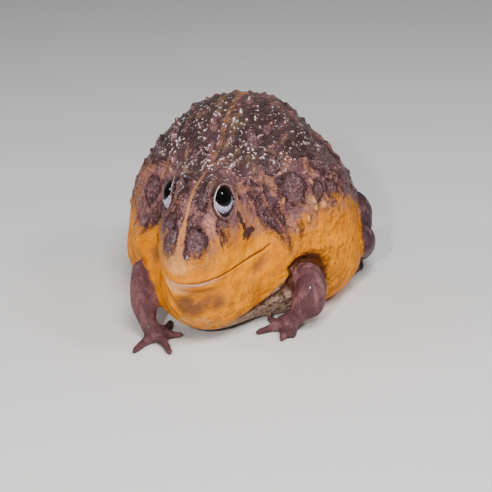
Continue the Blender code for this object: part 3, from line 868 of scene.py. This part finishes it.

# Material of the skin: moist hide. Yellow below, brown with dark ragged patches above, a pale line down the
# middle, purple-brown arms, and a fine grain of warts whose wet tips catch the light. Shade is painted into
# the creases, grooves and hollows, and highlights are painted on the warts on top of the back.
YELLOW = (0.86, 0.277, 0.0)
AMBER = (0.62, 0.170, 0.0)
CREAM_YELLOW = (0.92, 0.34, 0.004)
UMBER = (0.200, 0.089, 0.094)
DUSK = (0.086, 0.043, 0.050)
WART_GAP_SHADE = (0.056, 0.033, 0.034)
OLIVE = (0.105, 0.070, 0.042)
ORANGE_TAN = (0.345, 0.143, 0.085)
DARK = (0.050, 0.021, 0.023)
PATCH = (0.128, 0.068, 0.073)
FLECK_AND_GLINT = (0.290, 0.160, 0.172)
STRIPE = (0.56, 0.210, 0.085)
STRIPE_FAINT = (0.26, 0.115, 0.062)
PEACH = (1.0, 0.46, 0.16)
PINK = (0.62, 0.24, 0.17)
LIP = (0.80, 0.40, 0.27)
LIP_LINE_AND_SHADE = (0.22, 0.060, 0.014)
# the throat's own brown smudge, also used as painted shade in furrows, grooves and folds
SMUDGE_AND_SHADE = (0.17, 0.066, 0.030)
OCHRE = (0.50, 0.165, 0.008)
CHEST = (0.42, 0.27, 0.19)
CHEST_MOTTLE = (0.13, 0.080, 0.060)
ARMPIT_SHADE_RED = (0.055, 0.012, 0.004)
ARM_PURPLE = (0.098, 0.043, 0.048)
ARM_TAN = (0.300, 0.140, 0.135)
LEG_GREY = (0.052, 0.029, 0.038)
RIM_TAN = (0.13, 0.066, 0.064)
LID_FOLD = (0.24, 0.115, 0.085)
RIM_WHITE = (0.90, 0.72, 0.60)
RECESS_SHADE = (0.020, 0.010, 0.010)
PAINTED_GLINT = (1.0, 0.86, 0.92)
MUSTARD = (0.400, 0.150, 0.022)
STREAK_AND_SHADE_BROWN = (0.060, 0.024, 0.022)
MAUVE = (0.270, 0.138, 0.140)
NET_PALE = (0.62, 0.33, 0.13)
THREAD_TAN = (0.45, 0.235, 0.150)

skin_material = bpy.data.materials.new("bullfrog_skin")
skin_material.use_nodes = True
tree = skin_material.node_tree
surface = tree.nodes["Principled BSDF"]
link = tree.links.new


def node(kind, **settings):
    made = tree.nodes.new(kind)
    for name, value in settings.items():
        setattr(made, name, value)
    return made


def feed(socket, value):
    if isinstance(value, bpy.types.NodeSocket):
        link(value, socket)
    elif isinstance(value, tuple) and len(value) == 3 and socket.type == "RGBA":
        socket.default_value = (*value, 1)
    else:
        socket.default_value = value


def calc(operation, a, b=0.0):
    made = node("ShaderNodeMath", operation=operation)
    feed(made.inputs[0], a)
    feed(made.inputs[1], b)
    return made.outputs[0]


def total(*parts):
    result = parts[0]
    for part in parts[1:]:
        result = calc("ADD", result, part)
    return result


def times(*factors):
    product = factors[0]
    for factor in factors[1:]:
        product = calc("MULTIPLY", product, factor)
    return product


def field(name):
    return node("ShaderNodeAttribute", attribute_name=name).outputs["Fac"]


def step_up(value, low, high):
    """0 up to one value and 1 from another on; a first value above the second turns it round."""
    made = node("ShaderNodeMapRange", interpolation_type="SMOOTHSTEP")
    feed(made.inputs["Value"], value)
    made.inputs["From Min"].default_value = low
    made.inputs["From Max"].default_value = high
    return made.outputs["Result"]


def tint(amount, under, over):
    made = node("ShaderNodeMix", data_type="RGBA")
    feed(made.inputs["Factor"], amount)
    feed(made.inputs["A"], under)
    feed(made.inputs["B"], over)
    return made.outputs["Result"]


where = node("ShaderNodeTexCoord").outputs["Object"]


def stretched(scale):
    mapping = node("ShaderNodeMapping")
    mapping.inputs["Scale"].default_value = scale
    link(where, mapping.inputs["Vector"])
    return mapping.outputs["Vector"]


def grain(scale, detail=3.0, roughness=0.55, spot=None):
    made = node("ShaderNodeTexNoise")
    made.inputs["Scale"].default_value = scale
    made.inputs["Detail"].default_value = detail
    made.inputs["Roughness"].default_value = roughness
    link(spot or where, made.inputs["Vector"])
    return made.outputs["Fac"]


def veins(half, *noise):
    """Thin lines, where a noise passes through its middle value."""
    return step_up(calc("ABSOLUTE", calc("SUBTRACT", grain(*noise), 0.5)), half, 0.004)


def pebbles(scale):
    made = node("ShaderNodeTexVoronoi", feature="F1")
    made.inputs["Scale"].default_value = scale
    link(where, made.inputs["Vector"])
    return made.outputs["Distance"]


split = node("ShaderNodeSeparateXYZ")
link(where, split.inputs["Vector"])
height_at = split.outputs["Z"]
back = field("back")
top = field("top")
ring = field("ring")
lid_front_at = field("lid_front")
coarse = calc("SUBTRACT", grain(105, 3.0), 0.5)
ragged = calc("SUBTRACT", grain(420, 4.0, 0.65), 0.5)
fine = calc("SUBTRACT", grain(1500, 2.0), 0.5)
drips = calc("SUBTRACT", grain(1.0, 4.0, 0.6, stretched((420, 420, 110))), 0.5)
ragged_edge = total(times(coarse, 1.9), times(ragged, 1.3), times(fine, 0.5))

# the yellow underside, deeper in patches, creamier where the skin is stretched, with painted shade in its
# furrows, grooves, folds and hollows
color = tint(step_up(grain(60, 3.0), 0.35, 0.68), YELLOW, AMBER)
color = tint(times(step_up(grain(95, 4.0), 0.50, 0.75), 0.45), color, CREAM_YELLOW)
color = tint(field("peach"), color, PEACH)
# ochre mottles, stronger towards the bottom
ochre_toward_bottom = times(step_up(height_at, 0.044, 0.020), step_up(grain(120, 5.0, 0.65), 0.42, 0.60))
color = tint(times(ochre_toward_bottom, 0.8), color, OCHRE)
color = tint(times(field("net"), step_up(grain(150, 4.0), 0.42, 0.58), 0.6), color, NET_PALE)
color = tint(times(field("net"), veins(0.022, 190, 3.0, 0.6), 0.7), color, SMUDGE_AND_SHADE)
color = tint(times(field("smudge"), step_up(grain(170, 5.0, 0.65), 0.26, 0.46), 0.92), color, SMUDGE_AND_SHADE)
color = tint(times(field("throat_pale"), 0.9), color, PEACH)
# painted shade: brown in the furrow under the lip, the jaw groove and the slack fold
color = tint(times(field("furrow_shade"), 0.65), color, SMUDGE_AND_SHADE)
color = tint(times(field("jaw_shade"), step_up(grain(160, 3.0), 0.25, 0.50), 0.8), color, SMUDGE_AND_SHADE)
color = tint(times(field("slack_fold_shade"), 0.8), color, SMUDGE_AND_SHADE)
# painted shade: mustard in the hollows of the jaw and neck
color = tint(times(field("hollow_shade"), step_up(grain(140, 4.0), 0.30, 0.60), 0.45), color, MUSTARD)

# the back, a mix of browns with dark patches that are flecked with paler grains, partly painted highlights,
# and painted shade between the warts on top
upper = tint(step_up(grain(64, 5.0, 0.6), 0.42, 0.60), UMBER, DUSK)
upper = tint(times(step_up(grain(70, 3.0), 0.44, 0.56), top, 0.85), upper, OLIVE)
not_top = calc("SUBTRACT", 1.0, times(top, 0.75))
soft_edge = total(times(coarse, 1.3), times(ragged, 0.7), times(fine, 0.25))
light_at = step_up(calc("ADD", field("light_patch"), soft_edge), -0.15, 0.35)
upper = tint(times(light_at, not_top, 0.85), upper, ORANGE_TAN)
upper = tint(times(step_up(grain(78, 5.0, 0.6), 0.55, 0.66), not_top, 0.55), upper, ORANGE_TAN)
upper = tint(times(step_up(grain(110, 5.0, 0.65), 0.54, 0.64), not_top, 0.35), upper, MAUVE)
spots = times(field("forehead"), step_up(calc("ADD", grain(300, 3.0), times(coarse, 0.25)), 0.54, 0.58))
upper = tint(times(spots, 0.8), upper, DARK)
upper = tint(times(veins(0.020, 300, 3.0, 0.6), field("forehead"), 0.6), upper, THREAD_TAN)
upper = tint(times(field("pink"), 0.8), upper, PINK)
patch_at = calc("ADD", field("dark_patch"), soft_edge)
# pale flecks in the dark patches: their own colour, brightened as painted highlights
flecks_and_glints = times(step_up(grain(620, 3.0, 0.6), 0.50, 0.62), 0.75)
patch_core = tint(step_up(patch_at, 0.10, 0.46), DARK, PATCH)
patch_core = tint(times(flecks_and_glints, step_up(patch_at, 0.1, 0.5)), patch_core, FLECK_AND_GLINT)
upper = tint(times(step_up(patch_at, -0.05, 0.08), 0.95), upper, patch_core)
# painted shade: darker brown in the gaps between the warts on top of the back
shade_between_warts = step_up(calc("MAXIMUM", field("wart"), field("bead")), 0.25, 0.0)
upper = tint(times(top, shade_between_warts, 0.8), upper, WART_GAP_SHADE)
wart_color = tint(step_up(patch_at, 0.0, 0.3), ORANGE_TAN, MAUVE)
wart_strength = calc("SUBTRACT", 0.40, times(top, 0.28))
upper = tint(times(step_up(field("wart"), 0.3, 0.9), wart_strength), upper, wart_color)
upper = tint(times(step_up(field("ear_patch"), -0.2, 0.3), 0.62), upper, DARK)
streaked = step_up(grain(1.0, 3.0, 0.5, stretched((620, 620, 130))), 0.53, 0.60)
upper = tint(times(streaked, step_up(field("ear_patch"), -0.4, 0.3), 0.75), upper, MAUVE)
upper = tint(times(step_up(field("bead"), 0.4, 0.9), 0.20), upper, PINK)
upper = tint(times(step_up(grain(560, 3.0), 0.53, 0.62), 0.55), upper, DARK)
line = step_up(calc("ADD", field("stripe"), times(ragged, 2.0)), 0.0, 0.4)
worn = times(top, step_up(grain(200, 4.0, 0.6), 0.42, 0.58), 0.6)
upper = tint(times(line, calc("SUBTRACT", 0.88, worn)), upper, tint(top, STRIPE, STRIPE_FAINT))

# the brown frays out over the yellow through a band of mottled orange-tan
edge = total(back, times(ragged_edge, 0.75), times(drips, 0.7))
flank_warts = times(step_up(field("wart"), 0.1, 0.7), step_up(back, -2.2, -0.4), 0.5)
mottled = calc("ADD", step_up(edge, -1.3, 0.1), flank_warts)
color = tint(times(mottled, 0.75), color, tint(step_up(grain(120, 4.0), 0.40, 0.62), MUSTARD, ORANGE_TAN))
color = tint(times(field("tan_band"), 0.8), color, ORANGE_TAN)
color = tint(step_up(edge, -0.15, 0.45), color, upper)
# painted highlight: pale pink along the crest of the neck fold
color = tint(times(field("fold_crest_highlight"), 0.35), color, PINK)
color = tint(times(step_up(field("tall"), 0.50, 0.95), 0.40), color, PEACH)
# painted shade: dark in the grooves of slack skin beside the neck fold
color = tint(times(field("groove_shade"), step_up(grain(300, 3.0), 0.26, 0.48), 0.85), color, DARK)
color = tint(times(field("brow_dark"), step_up(grain(420, 2.0), 0.36, 0.52), 0.8), color, DARK)
marks = step_up(calc("ADD", field("streak"), times(calc("ADD", ragged, times(coarse, 0.4)), 2.2)), 0.0, 0.4)
color = tint(times(marks, step_up(field("streak"), -0.6, 0.0), 0.97), color, STREAK_AND_SHADE_BROWN)
dripping = times(calc("ADD", drips, times(ragged, 0.4)), 4.5)
drip_marks = step_up(calc("ADD", field("under_eye"), dripping), 0.15, 0.75)
color = tint(times(drip_marks, step_up(field("under_eye"), 0.0, 0.3), 0.85), color, STREAK_AND_SHADE_BROWN)
color = tint(times(field("ear"), 0.4), color, UMBER)
# painted shade: dark inside the nostril pits
color = tint(times(field("nostril"), 0.95), color, RECESS_SHADE)

# the chest, lips, creases and limbs, with painted shade in the creases, the armpit and the leg folds and on
# the far arm
mottle = step_up(grain(260, 3.0), 0.48, 0.60)
color = tint(field("chest"), color, tint(mottle, CHEST, CHEST_MOTTLE))
lips = field("mouth_off")
lower_lip = times(step_up(lips, -3.6, -1.6), step_up(lips, -0.3, -0.8), field("front_lip"))
color = tint(times(lower_lip, 0.9), color, LIP)
# the dark mouth line: the lip edge's own colour and painted shade under the overhanging upper lip
color = tint(times(step_up(lips, -0.75, -0.35), step_up(lips, 0.55, 0.15), 0.92), color, LIP_LINE_AND_SHADE)
speckles = times(field("near_arm"), step_up(calc("ADD", grain(520, 3.0), times(coarse, 0.3)), 0.55, 0.62))
color = tint(times(speckles, 0.75), color, SMUDGE_AND_SHADE)
# painted shadow: brown beside the tall warts on the left flank
shade = step_up(calc("ADD", field("wart_shade"), ragged), 0.0, 0.7)
color = tint(times(shade, step_up(field("wart_shade"), -0.3, 0.2), 0.6), color, STREAK_AND_SHADE_BROWN)
# painted shade: deep red-brown in the armpit and along the creases round the pouch and the arm
armpit_shade_at = calc("ADD", field("armpit"), times(calc("ADD", coarse, ragged), 0.8))
armpit_shade = times(step_up(armpit_shade_at, 0.05, 0.75), step_up(field("armpit"), 0.0, 0.15))
color = tint(times(armpit_shade, 0.95), color, ARMPIT_SHADE_RED)
color = tint(times(field("crease"), 0.9), color, ARMPIT_SHADE_RED)
arm_mix = step_up(grain(1.0, 4.0, 0.6, stretched((150, 150, 60))), 0.44, 0.66)
color = tint(field("arm"), color, tint(times(arm_mix, 0.66), ARM_PURPLE, ARM_TAN))
# painted shade: the far arm darker purple, on the side away from the light
far_arm_shade = times(field("arm"), step_up(split.outputs["X"], -0.020, -0.030))
color = tint(times(far_arm_shade, 0.45), color, ARM_PURPLE)
leg_color = tint(times(step_up(grain(90, 4.0), 0.45, 0.65), 0.7), LEG_GREY, ARM_PURPLE)
leg_color = tint(times(step_up(grain(150, 4.0, 0.6), 0.54, 0.62), 0.40), leg_color, ARM_TAN)
# painted shade: dark in the creases where the thigh, shank and foot press together
leg_color = tint(times(field("leg_fold"), 0.75), leg_color, RECESS_SHADE)
color = tint(field("leg"), color, leg_color)

# the lid's rim: tan, white and wet at its front, with painted shade in the furrow round it and a thin
# dark edge of painted shade against the eyeball
rim = step_up(ring, 1.11, 1.07)
furrow = times(step_up(ring, 1.08, 1.14), step_up(ring, 1.25, 1.17))
color = tint(times(step_up(ring, 1.22, 1.34), step_up(ring, 1.52, 1.42), 0.45), color, LID_FOLD)
# painted shade in the furrow round the rim
color = tint(times(furrow, 0.55), color, DARK)
color = tint(times(rim, 0.95), color, RIM_TAN)
white = times(step_up(ring, 1.075, 1.050), calc("ADD", times(step_up(lid_front_at, 0.40, 0.85), 0.85), 0.03))
color = tint(white, color, RIM_WHITE)
color = tint(times(step_up(ring, 1.06, 1.04), step_up(field("lid_up"), 0.1, 0.6), 0.45), color, MAUVE)
# painted shade: dark where the lid meets the eyeball
color = tint(step_up(ring, 1.03, 1.005), color, RECESS_SHADE)

# painted highlights: pale glints on the tips of the warts and worm-like ridges on top of the back
worms = veins(0.030, 150, 1.0)
worm_glints = times(worms, step_up(grain(380, 2.0), 0.52, 0.60), 0.9)
glint = calc("MAXIMUM", step_up(field("bead"), 0.72, 0.92), worm_glints)
painted_glint_mask = times(glint, top, step_up(grain(120, 3.0), 0.41, 0.51))
color = tint(times(painted_glint_mask, 0.88), color, PAINTED_GLINT)
link(color, surface.inputs["Base Color"])

# brown skin and limbs are wet and shiny, the yellow is duller
wet_limbs = times(calc("ADD", field("arm"), field("leg")), 0.5)
wet = calc("MAXIMUM", step_up(back, -0.5, 0.6), calc("MAXIMUM", wet_limbs, times(field("armpit"), 2.0)))
rough = calc("SUBTRACT", calc("ADD", 0.46, times(ragged, 0.25)), times(wet, 0.20))
link(rough, surface.inputs["Roughness"])
film = calc("MAXIMUM", step_up(grain(430, 2.0), 0.50, 0.58), step_up(field("bead"), 0.3, 0.7))
film = times(film, calc("ADD", times(top, 0.75), times(field("arm"), 0.35)))
link(calc("ADD", times(wet, calc("ADD", film, 0.10)), 0.015), surface.inputs["Coat Weight"])
surface.inputs["Coat Roughness"].default_value = 0.13
surface.inputs["Coat IOR"].default_value = 1.4
surface.inputs["Specular IOR Level"].default_value = 0.04

# fine relief: grain on the back, crinkles on the flanks and arms, lumps on the body, and calm lids
grain_depth = total(times(top, 0.45), times(step_up(back, -0.8, 0.8), 0.30), 0.10)
grains = times(step_up(pebbles(520), 0.62, 0.05), grain_depth)
wrinkles = grain(1.0, 4.0, 0.6, stretched((520, 520, 300)))
folds = grain(1.0, 3.0, 0.5, stretched((230, 230, 130)))
crinkles = times(field("crinkle"), calc("ADD", times(wrinkles, 1.4), times(folds, 2.6)))
knobs = times(field("crinkle"), step_up(pebbles(250), 0.60, 0.05), calc("SUBTRACT", 1.0, field("arm")), 1.4)
lumps = times(calc("SUBTRACT", 1.0, calc("ADD", field("arm"), field("leg"))), grain(115, 3.0, 0.55), 4.5)
patch_grain = times(step_up(field("dark_patch"), -0.3, 0.2), pebbles(900), 2.6)
limb_grain = times(calc("ADD", field("arm"), field("leg")), grain(330, 3.0, 0.6), 2.4)
noises = total(times(fine, 0.35), times(ragged, 1.4), times(worms, top, 0.9))
height = total(grains, noises, crinkles, knobs, limb_grain, lumps, patch_grain)
calm = step_up(ring, 1.05, 1.35)
relief = node("ShaderNodeBump")
relief.inputs["Strength"].default_value = 0.85
relief.inputs["Distance"].default_value = 0.0008
link(times(height, calm), relief.inputs["Height"])
link(relief.outputs["Normal"], surface.inputs["Normal"])
skin_mesh.materials.append(skin_material)
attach(skin, "root")
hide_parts(*flesh_nodes)

# Eyes: wet, dark balls set deep in the lids. The pupil looks forward and up; a silver crescent of the iris
# shows under it, streaked with dark lines at its lower edge.
PUPIL_OUT = 55
PUPIL_UP = 30
PUPIL_HALF_ANGLE = 34
BALL_AROUND = 96
BALL_RINGS = 64
PUPIL_SOFT_EDGE = 0.6
PUPIL_BLACK = (0.0015, 0.0015, 0.0020)
IRIS_BROWN = (0.030, 0.011, 0.006)
IRIS_SILVER = (0.56, 0.50, 0.66)
IRIS_SHADE = (0.20, 0.165, 0.26)
IRIS_EDGE_AND_SHADE = (0.006, 0.006, 0.018)

eye_material = bpy.data.materials.new("bullfrog_eye")
eye_material.use_nodes = True
tree = eye_material.node_tree
surface = tree.nodes["Principled BSDF"]
link = tree.links.new
where = node("ShaderNodeTexCoord").outputs["Object"]
angle = field("angle")
lower = field("lower")
rays = node("ShaderNodeTexNoise", noise_dimensions="1D")
rays.inputs["Scale"].default_value = 13
rays.inputs["Detail"].default_value = 3
link(field("turn"), rays.inputs["W"])
rays = rays.outputs["Fac"]
cloud = grain(700, 3.0)
silver = times(step_up(lower, 0.06, 0.13), step_up(angle, 34.5, 36.5))
iris = tint(step_up(calc("ADD", rays, cloud), 0.85, 1.15), IRIS_SHADE, IRIS_SILVER)
dark_rays = times(step_up(rays, 0.52, 0.58), step_up(angle, 47, 57))
iris = tint(times(dark_rays, 0.8), iris, IRIS_EDGE_AND_SHADE)
iris = tint(silver, IRIS_BROWN, iris)
# painted shade: the eyeball darkens where it meets and passes under the lid
iris = tint(step_up(calc("ADD", field("ring"), times(cloud, 0.08)), 1.06, 1.12), iris, IRIS_EDGE_AND_SHADE)
past_pupil = step_up(angle, PUPIL_HALF_ANGLE - PUPIL_SOFT_EDGE, PUPIL_HALF_ANGLE + PUPIL_SOFT_EDGE)
ball_color = tint(past_pupil, PUPIL_BLACK, iris)
link(ball_color, surface.inputs["Base Color"])
surface.inputs["Roughness"].default_value = 0.06
surface.inputs["Specular IOR Level"].default_value = 0.15
surface.inputs["Coat Weight"].default_value = 0.10
surface.inputs["Coat Roughness"].default_value = 0.02

for side, name in zip(SIDES, ("right", "left")):
    ball_bm = bmesh.new()
    bmesh.ops.create_uvsphere(ball_bm, u_segments=BALL_AROUND, v_segments=BALL_RINGS, radius=1)
    bmesh.ops.scale(ball_bm, vec=EYE_HALF, verts=ball_bm.verts[:])
    bmesh.ops.transform(ball_bm, matrix=eye_frame(side), verts=ball_bm.verts[:])
    ball_mesh = bpy.data.meshes.new("ball_" + name)
    ball_bm.to_mesh(ball_mesh)
    ball_bm.free()
    ball_mesh.polygons.foreach_set("use_smooth", [True] * len(ball_mesh.polygons))
    look = facing(side, PUPIL_OUT, PUPIL_UP)
    lifted = (Vector((0, 0, 1)) - look * look.z).normalized()
    spots = np.array([v.co for v in ball_mesh.vertices])
    ways = spots - np.array(eye_centre(side))
    ways /= np.linalg.norm(ways, axis=1)[:, None]
    ball_fields = {
        "angle": np.degrees(np.arccos(np.clip(ways @ np.array(look), -1, 1))),
        "lower": -ways @ np.array(lifted),
        "turn": np.arctan2(ways @ np.array(look.cross(lifted)), -ways @ np.array(lifted)),
        "ring": lid_ring(side, spots)[0],
    }
    keep_fields(ball_mesh, ball_fields)
    ball_mesh.materials.append(eye_material)
    ball = bpy.data.objects.new("eyeball_" + name, ball_mesh)
    bpy.context.scene.collection.objects.link(ball)
    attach(ball, "root")
    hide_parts("eye_" + name)

# Floor: a plain, pale, dull board, flat under the frog.
FLOOR_HALF = 7.0
FLOOR_WHITE = (0.78, 0.765, 0.745, 1)
floor_bm = bmesh.new()
bmesh.ops.create_grid(floor_bm, x_segments=8, y_segments=8, size=FLOOR_HALF)
floor_mesh = bpy.data.meshes.new("floor")
floor_bm.to_mesh(floor_mesh)
floor_bm.free()
floor_material = bpy.data.materials.new("pale_floor")
floor_material.use_nodes = True
floor_surface = floor_material.node_tree.nodes["Principled BSDF"]
floor_surface.inputs["Base Color"].default_value = FLOOR_WHITE
floor_surface.inputs["Roughness"].default_value = 0.7
floor_mesh.materials.append(floor_material)
floor = bpy.data.objects.new("floor", floor_mesh)
bpy.context.scene.collection.objects.link(floor)

# Camera: in front of the frog, a little to its left and above, tipped as the photograph is.
CAMERA_TURN = math.radians(18.3)
CAMERA_RISE = math.radians(21.8)
CAMERA_ROLL = math.radians(1.8)
CAMERA_AWAY = 0.850
LOOK_AT = Vector((-0.0113, 0.0398, 0.0084))
camera_data = bpy.data.cameras.new("camera")
camera_data.lens = 100
camera_data.sensor_width = 36
camera_data.clip_start = 0.01
camera = bpy.data.objects.new("camera", camera_data)
bpy.context.scene.collection.objects.link(camera)
back_way = Vector(
    (
        math.sin(CAMERA_TURN) * math.cos(CAMERA_RISE),
        -math.cos(CAMERA_TURN) * math.cos(CAMERA_RISE),
        math.sin(CAMERA_RISE),
    )
)
level = Vector((math.cos(CAMERA_TURN), math.sin(CAMERA_TURN), 0))
upright = back_way.cross(level)
camera_right = level * math.cos(CAMERA_ROLL) - upright * math.sin(CAMERA_ROLL)
camera_up = level * math.sin(CAMERA_ROLL) + upright * math.cos(CAMERA_ROLL)
turn = Matrix((camera_right, camera_up, back_way)).transposed().to_4x4()
camera.matrix_world = Matrix.Translation(LOOK_AT + back_way * CAMERA_AWAY) @ turn
bpy.context.scene.camera = camera

# Light: a broad soft key from above on the right that casts no glints, a smaller lamp on each side, and one
# close to the camera that puts bright points on the eyes and the wet warts.
LAMPS = {
    "key": ((0.42, -0.66, 1.10), 0.60, 15.5),
    "side": ((0.68, -0.12, 0.70), 0.16, 2.6),
    "left": ((-0.75, -0.32, 0.54), 0.12, 1.7),
    "camera_lamp": ((0.10, -0.92, 0.50), 0.06, 6.2),
}
LIT_SPOT = Vector((0, -0.03, 0.05))
ROOM_GREY = (0.86, 0.87, 0.90, 1)
for name, (place, size, watts) in LAMPS.items():
    lamp = bpy.data.lights.new(name, "AREA")
    lamp.shape = "DISK"
    lamp.size = size
    lamp.energy = watts
    holder = bpy.data.objects.new(name, lamp)
    aim = LIT_SPOT - Vector(place)
    holder.matrix_world = Matrix.Translation(place) @ aim.to_track_quat("-Z", "Y").to_matrix().to_4x4()
    holder.visible_glossy = name != "key"
    bpy.context.scene.collection.objects.link(holder)
world = bpy.data.worlds.new("studio")
world.use_nodes = True
world.node_tree.nodes["Background"].inputs["Color"].default_value = ROOM_GREY
world.node_tree.nodes["Background"].inputs["Strength"].default_value = 0.20
bpy.context.scene.world = world
